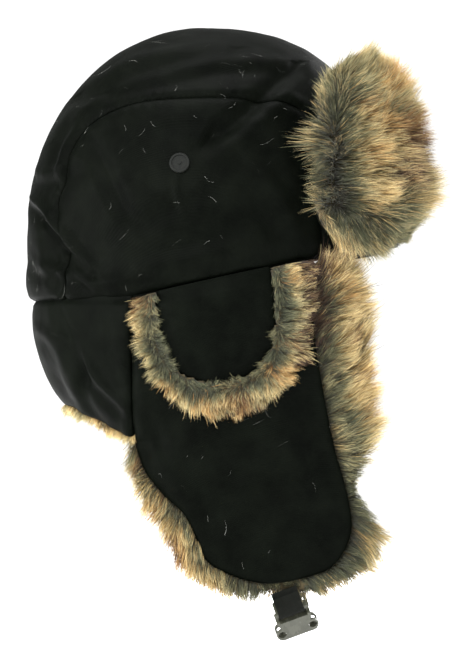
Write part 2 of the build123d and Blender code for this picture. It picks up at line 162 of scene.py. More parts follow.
def line_distance(q, line, closed=False):
    """Distance, signed side and share along a line, for each point of q, in any plane."""
    pts = np.vstack([line, line[:1]]) if closed else line
    a, b = pts[:-1], pts[1:]
    seg = b - a
    length = np.linalg.norm(seg, axis=1)
    start = np.concatenate([[0.0], np.cumsum(length)])
    best = np.full(len(q), 1e9)
    side = np.ones(len(q))
    share = np.zeros(len(q))
    for k in range(len(a)):
        rel = q - a[k]
        t = np.clip(rel @ seg[k] / max(length[k] ** 2, 1e-9), 0, 1)
        off = rel - t[:, None] * seg[k]
        d = np.hypot(off[:, 0], off[:, 1])
        closer = d < best
        best = np.where(closer, d, best)
        cross = seg[k][0] * rel[:, 1] - seg[k][1] * rel[:, 0]
        side = np.where(closer, np.sign(cross), side)
        share = np.where(closer, (start[k] + t * length[k]) / start[-1], share)
    return best, side, share


def inside(q, line):
    """Which points of q a closed line goes round."""
    x, y = q[:, 0], q[:, 1]
    result = np.zeros(len(q), bool)
    for a, b in zip(line, np.roll(line, -1, axis=0)):
        crosses = (a[1] > y) != (b[1] > y)
        with np.errstate(divide="ignore", invalid="ignore"):
            at = (b[0] - a[0]) * (y - a[1]) / (b[1] - a[1]) + a[0]
        result ^= crosses & (x < at)
    return result


# ---------------------------------------------------------------- forms
def swell(z, power, top):
    t = np.clip((z - WAIST) / (top - WAIST), 0.0, 1.0)
    return np.maximum(1.0 - t**power, 1e-9) ** (1.0 / power)


def crown_section(z, inset=0.0):
    top = TOP - inset
    back = PEAK_Y + (BACK - inset - PEAK_Y) * swell(z, 2.0, top)
    front = PEAK_Y + (FRONT + inset - PEAK_Y) * swell(z, 2.4, top)
    tuck = HEM_TUCK * np.clip((WAIST - z) / 50.0, 0.0, None) ** 2
    width = (HALF_WIDTH - inset) * swell(z, 1.9, top) - tuck
    return np.maximum(width, 0.01), np.maximum((back - front) / 2 - tuck, 0.01), (back + front) / 2


def hem(y):
    y = np.asarray(y, float)
    back = HEM_EAR[1] + (HEM_BACK_Z - HEM_EAR[1]) * (y - HEM_EAR[0]) / (BACK - HEM_EAR[0])
    return np.where(y > HEM_EAR[0], back, HEM_EAR[1] + HEM_SLOPE * (y - HEM_EAR[0]))


def hem_row(start, end, count, rise):
    """Places along the crown's hem in the side view, without the two ends, raised by a height."""
    y = np.linspace(start, end, count)[1:-1]
    return np.stack([y, hem(y) + rise], 1)


def crown_surface(q, side, inset=0.0):
    width, length, centre = crown_section(q[:, 1], inset)
    x = width * np.sqrt(np.clip(1.0 - ((q[:, 0] - centre) / length) ** 2, 1e-6, 1))
    return np.stack([side * x, q[:, 0], q[:, 1]], 1)


def skirt_axes(z, outset=0.0):
    t = (20.0 - z) / 245.0
    return 97.0 - 13.5 * t + outset, 116.0 + 56.0 * t + outset, 2.5 * (1.0 - t)


NECK_Z = np.array([-10.0, -40.0, -68.0, -95.0, -125.0])
NECK_FIT = [
    np.polyfit(NECK_Z, values, 4)
    for values in (
        [95.0, 98.0, 102.0, 112.0, 122.0],
        [112.0, 119.0, 126.0, 134.0, 150.0],
        [1.0, -5.0, -20.0, -44.0, -92.0],
    )
]


def neck_axes(z, outset=0.0):
    level = np.clip(z, -125.0, 5.0)
    a, b, c = (np.polyval(fit, level) for fit in NECK_FIT)
    return a + outset, b + outset, c


def seam_x(z):
    """Half width of the hat at the seam between neck flap and ear flap."""
    a, b, c = skirt_axes(z)
    outer = a * np.sqrt(1 - ((SEAM_Y - c) / b) ** 2)
    low = np.maximum(z, JUNCTION_Z)
    a, b, c = neck_axes(low)
    inner = a * np.sqrt(np.clip(1 - ((SEAM_Y - c) / b) ** 2, 0, 1))
    a, b, c = skirt_axes(low)
    outer_low = a * np.sqrt(1 - ((SEAM_Y - c) / b) ** 2)
    return outer - 0.5 * (outer_low - inner) * (1 - 0.5 * smooth((JUNCTION_Z - z) / 60.0))


def skirt_surface(q, side, outset=0.0):
    """The ear flap's outer face, drawn in towards the neck along its rear seam."""
    y, z = q[:, 0], q[:, 1]
    a, b, c = skirt_axes(z, outset)
    x = a * np.sqrt(np.clip(1 - ((y - c) / b) ** 2, 1e-6, 1))
    a0, b0, c0 = skirt_axes(z)
    outer = a0 * np.sqrt(1 - ((SEAM_Y - c0) / b0) ** 2)
    x = x - (outer - seam_x(z)) * smooth((y - 2.0) / (SEAM_Y - 2.0)) ** 1.3
    return np.stack([side * x, y, z], 1)


def visor_surface(q, outset=0.0):
    """The visor's form from its front view: (x, z) to a point, standing off the crown's front."""
    x, z = q[:, 0], q[:, 1]
    t = (z + 5.0) / 165.0
    a = 103.0 - 16.0 * t + outset
    b = 122.0 - 14.5 * t + outset
    y = 2.5 - b * np.sqrt(np.clip(1 - (x / a) ** 2, 1e-6, 1))
    return np.stack([x, y, z], 1)


def surface_normals(f, q, outward, step=0.5):
    """Unit normals of a surface given by f over its plane, turned to face outward(points)."""
    du = f(q + [step, 0]) - f(q - [step, 0])
    dv = f(q + [0, step]) - f(q - [0, step])
    n = unit(np.cross(du, dv))
    flip = np.sum(n * outward(f(q)), 1) < 0
    n[flip] *= -1
    return n


def from_axis(p):
    """Level direction away from the middle of the head."""
    away = p - np.array([0.0, 2.0, 0.0])
    away[:, 2] *= 0.15
    return away


def form(surface, q, outward=from_axis):
    """Points and outward normals of a surface over places q of its plane."""
    return surface(q), surface_normals(surface, q, outward)


# ---------------------------------------------------------------- meshes
def new_mesh(name, verts, tris, mat):
    """A mesh object from arrays of points in millimetres and triangles."""
    verts = np.asarray(verts, float)
    tris = np.asarray(tris, np.int32)
    mesh = bpy.data.meshes.new(name)
    mesh.vertices.add(len(verts))
    mesh.vertices.foreach_set("co", (verts * MM).astype(np.float32).ravel())
    mesh.loops.add(tris.size)
    mesh.loops.foreach_set("vertex_index", tris.ravel())
    mesh.polygons.add(len(tris))
    mesh.polygons.foreach_set("loop_start", np.arange(0, tris.size, tris.shape[1], dtype=np.int32))
    mesh.polygons.foreach_set("use_smooth", np.full(len(tris), True))
    mesh.update(calc_edges=True)
    mesh.validate()
    obj = bpy.data.objects.new(name, mesh)
    bpy.context.scene.collection.objects.link(obj)
    mesh.materials.append(mat)
    return obj


def face_out(verts, tris, normals):
    """Triangles turned so that they face along the normals."""
    a, b, c = (verts[tris[:, k]] for k in range(3))
    facing = np.sum(np.cross(b - a, c - a) * normals[tris[:, 0]], 1)
    return tris[:, ::-1] if np.sum(facing) < 0 else tris


def close_sheet(outer, inner, tris):
    """Points and triangles of a closed layer between two faces of the same triangles."""
    n = len(outer)
    directed = np.concatenate([tris[:, [0, 1]], tris[:, [1, 2]], tris[:, [2, 0]]])
    key = directed.min(1).astype(np.int64) * n + directed.max(1)
    _, first, count = np.unique(key, return_index=True, return_counts=True)
    rim = directed[first[count == 1]]
    a, b = rim[:, 0], rim[:, 1]
    walls = np.concatenate([np.stack([b, a, a + n], 1), np.stack([b, a + n, b + n], 1)])
    return np.vstack([outer, inner]), np.concatenate([tris, tris[:, ::-1] + n, walls])


def add_layer(name, outer, inner, tris, normals, mat, attach, replaced):
    """A closed padded layer, handed to attach, which hides the CAD nodes it stands for.

    Returns the triangles of its outer face.
    """
    tris = face_out(outer, tris, normals)
    verts, faces = close_sheet(outer, inner, tris)
    obj = new_mesh(name, verts, faces, mat)
    attach(obj)
    if replaced:
        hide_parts(*replaced)
    return tris


def with_crown(obj):
    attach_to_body(obj, "crown")


def with_visor(obj):
    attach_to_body(obj, "visor")


def region(outline, pitch=2.2, holes=(), rim=(0.6, 1.6, 3.2)):
    """Points and triangles that fill a closed outline in a plane, with finer rows beside its edge."""
    edge = resample(outline, pitch, closed=True)
    centre_tangent = np.roll(edge, -1, axis=0) - np.roll(edge, 1, axis=0)
    area = np.sum(edge[:, 0] * np.roll(edge[:, 1], -1) - np.roll(edge[:, 0], -1) * edge[:, 1])
    inward = unit(np.stack([-centre_tangent[:, 1], centre_tangent[:, 0]], 1)) * np.sign(area)
    points = [edge]
    for depth in rim:
        row = edge + inward * depth
        d, _, _ = line_distance(row, edge, closed=True)
        points.append(row[inside(row, edge) & (d > depth * 0.85)])
    low, high = edge.min(0), edge.max(0)
    xs = np.arange(low[0], high[0], pitch)
    ys = np.arange(low[1], high[1], pitch * 0.866)
    gx, gy = np.meshgrid(xs, ys)
    gx = gx + (np.arange(len(ys)) % 2)[:, None] * pitch / 2
    grid = np.stack([gx.ravel(), gy.ravel()], 1)
    grid = grid[inside(grid, edge)]
    d, _, _ = line_distance(grid, edge, closed=True)
    points.append(grid[d > (rim[-1] if rim else 0) + pitch * 0.6])
    flat = np.vstack(points)
    n = len(edge)
    result = delaunay_2d_cdt([tuple(p) for p in flat], [], [list(range(n))], 1, 1e-5)
    verts = np.array([tuple(v) for v in result[0]])
    tris = np.array(result[2])
    for hole in holes:
        tris = tris[~inside(verts[tris].mean(1), hole)]
    used = np.unique(tris)
    remap = np.full(len(verts), -1)
    remap[used] = np.arange(len(used))
    return verts[used], remap[tris]


def grid_tris(nu, nv, wrap=False):
    i, j = np.meshgrid(np.arange(nu if wrap else nu - 1), np.arange(nv - 1), indexing="ij")
    a = (i * nv + j).ravel()
    b = ((i + 1) % nu * nv + j).ravel()
    return np.concatenate([np.stack([a, b, b + 1], 1), np.stack([a, b + 1, a + 1], 1)])


def grid_normals(p, outward):
    """Normals of a grid of points shaped (nu, nv, 3)."""
    du = np.gradient(p, axis=0)
    dv = np.gradient(p, axis=1)
    n = unit(np.cross(du, dv))
    flip = np.sum(n * outward, -1) < 0
    n[flip] *= -1
    return n


# ---------------------------------------------------------------- materials
def material(name):
    mat = bpy.data.materials.new(name)
    mat.use_nodes = True
    tree = mat.node_tree
    tree.nodes.clear()
    out = tree.nodes.new("ShaderNodeOutputMaterial")
    shader = tree.nodes.new("ShaderNodeBsdfPrincipled")
    tree.links.new(shader.outputs[0], out.inputs["Surface"])
    return mat, tree, shader


def settings(made, **inputs):
    """Constants on a node's own sockets, by their names with spaces as underscores."""
    for key, value in inputs.items():
        made.inputs[key.replace("_", " ")].default_value = value


def node(tree, kind, **inputs):
    made = tree.nodes.new(kind)
    settings(made, **inputs)
    return made


def maths(tree, operation, a, b=0.0):
    made = tree.nodes.new("ShaderNodeMath")
    made.operation = operation
    for socket, value in zip(made.inputs, (a, b)):
        if isinstance(value, (int, float)):
            socket.default_value = value
        else:
            tree.links.new(value, socket)
    return made.outputs[0]


def ramp(tree, factor, stops):
    made = tree.nodes.new("ShaderNodeValToRGB")
    elements = made.color_ramp.elements
    while len(elements) < len(stops):
        elements.new(0.5)
    for element, (position, colour) in zip(elements, stops):
        element.position = position
        element.color = (*colour, 1.0)
    tree.links.new(factor, made.inputs[0])
    return made.outputs[0]


def mix(tree, factor, a, b):
    made = tree.nodes.new("ShaderNodeMix")
    made.data_type = "RGBA"
    for socket, value in ((made.inputs[0], factor), (made.inputs[6], a), (made.inputs[7], b)):
        if isinstance(value, tuple):
            socket.default_value = (*value, 1.0)
        elif isinstance(value, (int, float)):
            socket.default_value = value
        else:
            tree.links.new(value, socket)
    return made.outputs[2]


def coordinates(tree, scale=(1000.0, 1000.0, 1000.0), turn=(0.0, 0.0, 0.0)):
    """Object coordinates in millimetres."""
    coords = tree.nodes.new("ShaderNodeTexCoord")
    mapping = node(tree, "ShaderNodeMapping", Scale=scale, Rotation=turn)
    tree.links.new(coords.outputs["Object"], mapping.inputs["Vector"])
    return mapping.outputs[0]


def noise_texture(tree, vector, scale, detail=3.0, roughness=0.5):
    made = node(tree, "ShaderNodeTexNoise", Scale=scale, Detail=detail, Roughness=roughness)
    tree.links.new(vector, made.inputs["Vector"])
    return made.outputs["Fac"]


def wave_texture(tree, vector, scale, distortion=0.0, direction="X"):
    made = node(tree, "ShaderNodeTexWave", Scale=scale, Distortion=distortion)
    made.bands_direction = direction
    tree.links.new(vector, made.inputs["Vector"])
    return made.outputs["Fac"]


def bump(tree, shader, height, strength, distance):
    made = node(tree, "ShaderNodeBump", Strength=strength, Distance=distance)
    tree.links.new(height, made.inputs["Height"])
    tree.links.new(made.outputs[0], shader.inputs["Normal"])


def twill_material(name, dark, light, turn=0.0):
    """Brushed cotton twill: diagonal wale, crossing yarn, slubs and a faint peached bloom."""
    mat, tree, shader = material(name)
    plain = coordinates(tree)
    wale = wave_texture(tree, coordinates(tree, turn=(0.9, 0.15 + turn, 0.3)), 0.34, 0.6)
    cross = wave_texture(tree, coordinates(tree, turn=(-0.7, 0.2, 1.1 + turn)), 0.55, 0.8)
    slub = noise_texture(tree, plain, 0.9, 4.0, 0.65)
    bloom = noise_texture(tree, plain, 0.045, 4.0, 0.6)
    lint = noise_texture(tree, coordinates(tree, scale=(2400.0, 500.0, 900.0)), 0.8, 2.0, 0.8)
    tone = maths(tree, "ADD", maths(tree, "MULTIPLY", bloom, 0.75), maths(tree, "MULTIPLY", slub, 0.25))
    colour = ramp(tree, tone, [(0.36, dark), (0.62, light)])
    specks = ramp(tree, lint, [(0.70, (0.0, 0.0, 0.0)), (0.84, (0.5, 0.5, 0.5))])
    colour = mix(tree, specks, colour, tuple(3.2 * c for c in light))
    tree.links.new(colour, shader.inputs["Base Color"])
    settings(shader, Roughness=0.52, Specular_IOR_Level=0.017, Sheen_Weight=0.007, Sheen_Roughness=0.24,
             Sheen_Tint=(0.92, 1.0, 0.92, 1.0))
    height = maths(tree, "ADD", maths(tree, "MULTIPLY", wale, 0.5), maths(tree, "MULTIPLY", cross, 0.25))
    height = maths(tree, "ADD", height, maths(tree, "MULTIPLY", slub, 0.9))
    bump(tree, shader, height, 0.35, 0.0004)
    return mat


FUR_BANDS = [0.0, 0.22, 0.45, 0.68, 0.86, 1.0]
# Root colours: the hair's own dark root bands, darkened further by painted shade for the shadow deep in the
# pile.
FUR_SHADED_ROOT = [
    (0.008, 0.009, 0.004), (0.016, 0.015, 0.007), (0.040, 0.025, 0.009), (0.034, 0.017, 0.005),
    (0.015, 0.007, 0.003), (0.006, 0.003, 0.002),
]
FUR_MID = [
    (0.027, 0.031, 0.013), (0.100, 0.090, 0.038), (0.34, 0.225, 0.070), (0.27, 0.130, 0.032),
    (0.095, 0.042, 0.011), (0.022, 0.011, 0.006),
]
FUR_TIP = [
    (0.092, 0.100, 0.050), (0.42, 0.38, 0.20), (0.86, 0.69, 0.36), (0.62, 0.39, 0.14), (0.23, 0.12, 0.042),
    (0.06, 0.030, 0.016),
]
# Places of the bands in a strand's colour number.
SLATE, SMOKE, HONEY, AMBER, RUST, UMBER = FUR_BANDS


def fur_material():
    """Guard hair: the colour number runs across the strand's map and root to tip runs up it."""
    mat, tree, shader = material("fur_pile")
    uv = tree.nodes.new("ShaderNodeUVMap")
    uv.uv_map = "OFBake"
    split = tree.nodes.new("ShaderNodeSeparateXYZ")
    tree.links.new(uv.outputs[0], split.inputs[0])
    u, v = split.outputs[0], split.outputs[1]
    root = ramp(tree, u, list(zip(FUR_BANDS, FUR_SHADED_ROOT)))
    middle = ramp(tree, u, list(zip(FUR_BANDS, FUR_MID)))
    tip = ramp(tree, u, list(zip(FUR_BANDS, FUR_TIP)))
    # Towards the root the strand takes the root colour: partly the hair's own banding, partly painted shade
    # of the pile's depth.
    lower = ramp(tree, v, [(0.18, (0.0, 0.0, 0.0)), (0.66, (1.0, 1.0, 1.0))])
    upper = ramp(tree, v, [(0.56, (0.0, 0.0, 0.0)), (0.95, (1.0, 1.0, 1.0))])
    colour = mix(tree, upper, mix(tree, lower, root, middle), tip)
    tree.links.new(colour, shader.inputs["Base Color"])
    settings(shader, Roughness=0.62, Specular_IOR_Level=0.28, Sheen_Weight=0.12, Sheen_Roughness=0.5)
    return mat


def lint_material():
    """Fine grey-white hair."""
    mat, tree, shader = material("lint_hair")
    patch = noise_texture(tree, coordinates(tree), 0.25, 3.0, 0.6)
    colour = ramp(tree, patch, [(0.35, (0.10, 0.105, 0.095)), (0.65, (0.34, 0.35, 0.31))])
    tree.links.new(colour, shader.inputs["Base Color"])
    settings(shader, Roughness=0.5)
    return mat


def underfur_material(name, dark, light):
    """Dense short pile under the guard hair."""
    mat, tree, shader = material(name)
    plain = coordinates(tree)
    tuft = noise_texture(tree, plain, 0.22, 5.0, 0.75)
    fibre = noise_texture(tree, coordinates(tree, scale=(2600.0, 1500.0, 700.0)), 0.9, 4.0, 0.8)
    tone = maths(tree, "ADD", maths(tree, "MULTIPLY", tuft, 0.6), maths(tree, "MULTIPLY", fibre, 0.4))
    tree.links.new(ramp(tree, tone, [(0.35, dark), (0.66, light)]), shader.inputs["Base Color"])
    settings(shader, Roughness=0.95, Specular_IOR_Level=0.1, Sheen_Weight=0.1)
    bump(tree, shader, tone, 0.9, 0.0016)
    return mat


def lining_material():
    """Black taffeta lining with a fine plain weave and a soft sheen."""
    mat, tree, shader = material("lining_taffeta")
    warp = wave_texture(tree, coordinates(tree), 0.8, 0.2, "Z")
    weft = wave_texture(tree, coordinates(tree), 0.8, 0.2, "Y")
    tone = noise_texture(tree, coordinates(tree), 0.06, 4.0, 0.6)
    colour = ramp(tree, tone, [(0.35, (0.006, 0.0065, 0.007)), (0.7, (0.014, 0.0145, 0.016))])
    tree.links.new(colour, shader.inputs["Base Color"])
    settings(shader, Roughness=0.42, Sheen_Weight=0.08)
    bump(tree, shader, maths(tree, "ADD", warp, weft), 0.25, 0.0002)
    return mat


def webbing_material():
    """Black woven nylon: ribs across the strap, crossing picks and worn, paler patches."""
    mat, tree, shader = material("strap_webbing")
    rib = wave_texture(tree, coordinates(tree, turn=(0.35, 0.0, 0.0)), 0.42, 0.1, "Z")
    pick = wave_texture(tree, coordinates(tree, turn=(0.35, 0.0, 0.0)), 0.5, 0.3, "Y")
    wear = noise_texture(tree, coordinates(tree), 0.4, 5.0, 0.7)
    tone = maths(tree, "ADD", maths(tree, "MULTIPLY", rib, 0.35), maths(tree, "MULTIPLY", wear, 0.65))
    colour = ramp(tree, tone, [(0.3, (0.0012, 0.0015, 0.001)), (0.75, (0.007, 0.008, 0.006))])
    tree.links.new(colour, shader.inputs["Base Color"])
    settings(shader, Roughness=0.5, Specular_IOR_Level=0.06, Sheen_Weight=0.005)
    bump(tree, shader, maths(tree, "ADD", rib, maths(tree, "MULTIPLY", pick, 0.7)), 0.7, 0.0004)
    return mat


def plastic_material():
    """Moulded black acetal: a fine orange peel, handling marks and duller worn patches."""
    mat, tree, shader = material("buckle_acetal")
    peel = noise_texture(tree, coordinates(tree), 1.6, 3.0, 0.5)
    scuff = noise_texture(tree, coordinates(tree, scale=(700.0, 1500.0, 1100.0)), 0.10, 5.0, 0.6)
    colour = ramp(tree, scuff, [(0.35, (0.036, 0.038, 0.027)), (0.72, (0.062, 0.064, 0.048))])
    tree.links.new(colour, shader.inputs["Base Color"])
    rough = ramp(tree, scuff, [(0.3, (0.20, 0.20, 0.20)), (0.75, (0.34, 0.34, 0.34))])
    tree.links.new(rough, shader.inputs["Roughness"])
    settings(shader, Specular_IOR_Level=0.34, Coat_Weight=0.08, Coat_Roughness=0.2)
    bump(tree, shader, peel, 0.18, 0.0003)
    return mat


def metal_material(name, dark, light, roughness, metallic):
    """Painted or plated snap metal with rubbed patches."""
    mat, tree, shader = material(name)
    rub = noise_texture(tree, coordinates(tree), 0.7, 5.0, 0.7)
    tree.links.new(ramp(tree, rub, [(0.4, dark), (0.72, light)]), shader.inputs["Base Color"])
    settings(shader, Metallic=metallic, Roughness=roughness, Specular_IOR_Level=0.10)
    bump(tree, shader, rub, 0.15, 0.0002)
    return mat


TWILL = twill_material("twill_black", (0.0006, 0.0009, 0.0005), (0.0019, 0.0025, 0.0016))
TWILL_FLAP = twill_material("twill_flap", (0.0006, 0.0009, 0.0005), (0.0020, 0.0027, 0.0017), 0.6)
FUR = fur_material()
LINT = lint_material()
UNDERFUR = underfur_material("underfur_slate", (0.016, 0.013, 0.007), (0.085, 0.066, 0.032))
UNDERFUR_WARM = underfur_material("underfur_warm", (0.020, 0.015, 0.008), (0.14, 0.10, 0.048))
LINING = lining_material()
WEBBING = webbing_material()
PLASTIC = plastic_material()
SNAP_METAL = metal_material("snap_enamel", (0.003, 0.0035, 0.003), (0.006, 0.007, 0.005), 0.62, 0.0)
WASHER_METAL = metal_material("washer_plate", (0.35, 0.33, 0.28), (0.62, 0.60, 0.55), 0.3, 0.9)
BINDING = twill_material("binding_tape", (0.004, 0.004, 0.0038), (0.012, 0.012, 0.011), 1.2)


# ---------------------------------------------------------------- fur
COVER_HAIRS = 27000
FRINGE_HAIRS = 36000
FLAP_LINING_HAIRS = 19000
NECK_LINING_HAIRS = 12000
NECK_FRINGE_HAIRS = 6500
VISOR_HAIRS = 46000  # on each side
PANEL_LINT = 34
CENTRE_LINT = 150
STRANDS_A_PIECE = 39000  # of five triangles each, which keeps a piece under 200,000 triangles


def strands(name, roots, grow, comb, length, colour, attach, width=0.42, clump=0.35, clump_size=7.0,
            seed=1, lean=0.75, longest=60.0, levels=3, curl=0.25):
    """Guard hair as thin tapering ribbons.

    roots and grow are points and directions out of the backing, comb is the lay of the pile, and length
    is in millimetres for each strand.
    """
    rng = np.random.default_rng(seed)
    n = len(roots)
    grow, comb = unit(grow), unit(comb)
    jitter = unit(rng.normal(size=(n, 3)))
    swirl = np.stack([noise(roots, 11.0, seed + k) for k in (51, 52, 53)], 1)
    length = length * (0.52 + 0.80 * rng.random(n) ** 1.7 + 0.35 * (rng.random(n) < 0.05))
    # Strands lean to the tip of the tuft that they stand in.
    grid = np.unique(np.floor(roots / clump_size).astype(np.int64), axis=0)
    middles = roots[rng.choice(n, min(n, len(grid)), replace=False)]
    tree = KDTree(len(middles))
    for k, middle in enumerate(middles):
        tree.insert(middle, k)
    tree.balance()
    tuft = np.array([tree.find(root)[1] for root in roots])
    count = np.maximum(np.bincount(tuft, minlength=len(middles)), 1).astype(float)
    centre = np.stack([np.bincount(tuft, roots[:, k], len(middles)) / count for k in range(3)], 1)
    offset = centre[tuft] - roots
    tuft_turn = unit(rng.normal(size=(len(count), 3)))[tuft]
    tuft_long = rng.uniform(0.82, 1.12, len(count))[tuft]
    length = np.minimum(length * tuft_long, longest)
    t = np.linspace(0, 1, levels + 1)
    first = unit(grow + 0.55 * comb + 0.22 * jitter + 0.25 * swirl)
    last = unit((1 - lean) * grow + lean * 1.3 * comb + curl * jitter + 0.50 * swirl + 0.28 * tuft_turn)
    path = np.zeros((n, levels + 1, 3))
    path[:, 0] = roots
    for k in range(1, levels + 1):
        mid = (t[k] + t[k - 1]) / 2
        heading = unit(first * (1 - mid) + last * mid)
        path[:, k] = path[:, k - 1] + heading * (length / levels)[:, None]
    path += (clump * t**1.5)[None, :, None] * offset[:, None, :] * 0.9
    ribbons(name, path, colour, width, rng, attach)


def ribbons(name, path, colour, width, rng, attach, mat=None):
    """Tapering ribbons along paths shaped (strands, levels + 1, 3), as pieces of a bounded size."""
    n, levels = len(path), path.shape[1] - 1
    t = np.linspace(0, 1, levels + 1)
    roll = unit(rng.normal(size=(n, 3)))
    across = unit(np.cross(np.gradient(path, axis=1), roll[:, None, :]))
    thin = width * rng.uniform(0.75, 1.25, n)
    taper = (1 - 0.85 * t[:-1] ** 1.2) / 2
    wide = across[:, :-1] * (thin[:, None] * taper[None, :])[:, :, None]
    verts = np.zeros((n, 2 * levels + 1, 3))
    verts[:, 0:2 * levels:2] = path[:, :-1] - wide
    verts[:, 1:2 * levels:2] = path[:, :-1] + wide
    verts[:, -1] = path[:, -1]
    one = []
    for k in range(levels - 1):
        a = 2 * k
        one += [(a, a + 1, a + 3), (a, a + 3, a + 2)]
    one = np.array(one + [(2 * levels - 2, 2 * levels - 1, 2 * levels)])
    v = np.concatenate([np.repeat(t[:-1], 2), [1.0]])
    column = (np.floor(np.clip(colour, 0, 0.9999) * 64) + 0.5) / 64
    pieces = max(1, math.ceil(n * (2 * levels - 1) / (STRANDS_A_PIECE * 5.0)))
    for k, rows in enumerate(np.array_split(np.arange(n), pieces)):
        m = len(rows)
        tris = (one[None] + (np.arange(m) * (2 * levels + 1))[:, None, None]).reshape(-1, 3)
        piece_name = f"{name}_{k + 1}" if pieces > 1 else name
        obj = new_mesh(piece_name, verts[rows].reshape(-1, 3), tris, mat or FUR)
        uv = obj.data.uv_layers.new(name="OFBake")
        per_vertex = np.stack([np.repeat(column[rows], 2 * levels + 1), np.tile(0.01 + 0.98 * v, m)], 1)
        uv.data.foreach_set("uv", per_vertex[tris.ravel()].astype(np.float32).ravel())
        attach(obj)


def lint(name, verts, tris, normals, count, seed, attach):
    """Loose pale hairs that cling to the cloth."""
    rng = np.random.default_rng(seed)
    pick, weights = scatter(rng, verts, tris, count)
    root = spread(weights, pick, tris, verts)
    n = unit(spread(weights, pick, tris, normals))
    along = unit(np.cross(n, rng.normal(size=(count, 3))))
    beside = np.cross(n, along)
    length = rng.uniform(3.0, 9.0, count) + 9.0 * rng.random(count) ** 4
    bend = rng.normal(0, 1.1, count)
    kink = rng.normal(0, 0.5, count)
    t = np.linspace(0, 1, 9)
    heading = bend[:, None] * t + kink[:, None] * smooth((t - 0.5) * 8.0)
    step = length[:, None] / (len(t) - 1)
    s1 = np.cumsum(np.cos(heading) * step, axis=1)
    s2 = np.cumsum(np.sin(heading) * step, axis=1)
    path = root[:, None] + s1[..., None] * along[:, None] + s2[..., None] * beside[:, None]
    lift = 0.5 - (s1**2 + s2**2) / 210.0
    path = path + lift[..., None] * n[:, None]
    ribbons(name, path, rng.uniform(0.1, 0.4, count), 0.07, rng, attach, mat=LINT)


def scatter(rng, verts, tris, count):
    """Random places over a triangulated surface: points, triangle numbers and weights."""
    a, b, c = (verts[tris[:, k]] for k in range(3))
    area = np.linalg.norm(np.cross(b - a, c - a), axis=1)
    pick = rng.choice(len(tris), count, p=area / area.sum())
    r1, r2 = rng.random(count), rng.random(count)
    s = np.sqrt(r1)
    weights = np.stack([1 - s, s * (1 - r2), s * r2], 1)
    return pick, weights


def spread(weights, pick, tris, values):
    return np.einsum("nk,nkj->nj", weights, values[tris[pick]])


def colour_mix(rng, p, base, spots=(), jitter=0.10, seed=0):
    """Colour numbers: a base value, tufts that differ, and named spots that take most strands near them."""
    value = base + 0.17 * noise(p, 13.0, 61 + seed) + 0.13 * noise(p, 4.5, 62 + seed)
    value = np.clip(value + rng.normal(0, jitter, len(p)), 0, 0.9)
    for number, ((y, z), radius, target, strength) in enumerate(spots):
        d = np.hypot(p[:, 1] - y, p[:, 2] - z) / radius
        chance = strength * np.exp(-(d**3)) + 0.25 * noise(p, 5.0, 300 + seed + number) * np.exp(-(d**2))
        taken = rng.random(len(p)) < chance
        value = np.where(taken, target + rng.normal(0, 0.05, len(p)), value)
    return np.clip(value, 0, 1)


# ---------------------------------------------------------------- folds in the cloth
def folds(q, lines):
    """Height of soft folds: each is a line, a half width, a height and a valley share beside it."""
    total = np.zeros(len(q))
    for points, width, height, valley in lines:
        line = resample(catmull(points, per=8), 4.0)
        d, side, share = line_distance(q, line)
        ends = np.sin(math.pi * np.clip(0.06 + 0.88 * share, 0, 1)) ** 0.6
        ridge = np.exp(-((d / width) ** 2))
        trough = np.exp(-(((d * side - 1.7 * width) / (1.1 * width)) ** 2))
        total += ends * height * (ridge - valley * trough)
    return total


CROWN_FOLDS = [
    ([(119, 48), (107, 38), (97.5, 26), (88, 13), (76, 0)], 3.6, 2.5, 1.1),
    ([(118, 66), (106, 61), (95, 63), (84, 72)], 5.0, 1.2, 0.7),
    ([(80, 116), (50, 131), (31, 136.5), (5, 141), (-9, 141.7)], 5.0, 1.3, 0.8),
    ([(60, 115), (39, 121.6), (13, 128.7), (-9, 132.6), (-48, 132.6)], 4.4, 1.2, 0.8),
    ([(7, 76), (-21, 97.5), (-42, 117.7), (-52, 125.5)], 6.0, -2.6, 0.35),
    ([(74, 76), (67, 60.5), (60, 44), (52, 31)], 5.5, -1.5, 0.4),
    ([(97, 86), (90, 92), (80, 101), (66, 110)], 4.0, 1.0, 0.6),
    ([(100, 104), (82, 112), (66, 126)], 5.0, -0.9, 0.2),
    ([(60, 6), (30, 1), (0, 8), (-34, 18)], 7.0, 0.9, 0.5),
    ([(50, 92), (20, 97), (-14, 96), (-44, 88)], 6.0, 0.9, 0.4),
    ([(-30, 60), (-44, 42), (-54, 20)], 7.0, 0.9, 0.5),
    ([(88, -6), (70, -10), (50, -9)], 4.0, 1.0, 0.6),
    ([(112, 4), (98, -2), (84, -4)], 4.0, 1.1, 0.6),
    ([(20, 40), (38, 28), (56, 22)], 8.0, -0.8, 0.3),
    ([(92, 8), (84, -2), (72, -14)], 3.0, 1.4, 0.9),
    ([(106, 20), (100, 4), (97, -14)], 3.4, -1.3, 0.6),
    ([(84, 92), (92, 78), (96, 60)], 3.4, 1.3, 0.8),
    ([(20, 66), (22, 50), (16, 34)], 2.6, 0.55, 0.5),
    ([(-4, 92), (0, 84), (4, 78)], 2.4, -0.9, 0.5),
]
NECK_FOLDS = [
    ([(98, -24), (90, -43), (84, -51), (80, -63), (79, -86), (69, -100)], 3.2, -1.6, 0.5),
    ([(90, -46), (84, -50), (72, -70), (60, -83), (51, -91)], 3.6, 1.8, 0.8),
    ([(112, -38), (100, -46), (92, -60), (88, -80)], 4.2, 1.1, 0.6),
    ([(62, -30), (60, -52), (55, -70)], 5.0, 1.0, 0.5),
    ([(106, -60), (98, -72), (86, -88)], 4.0, -0.9, 0.4),
]
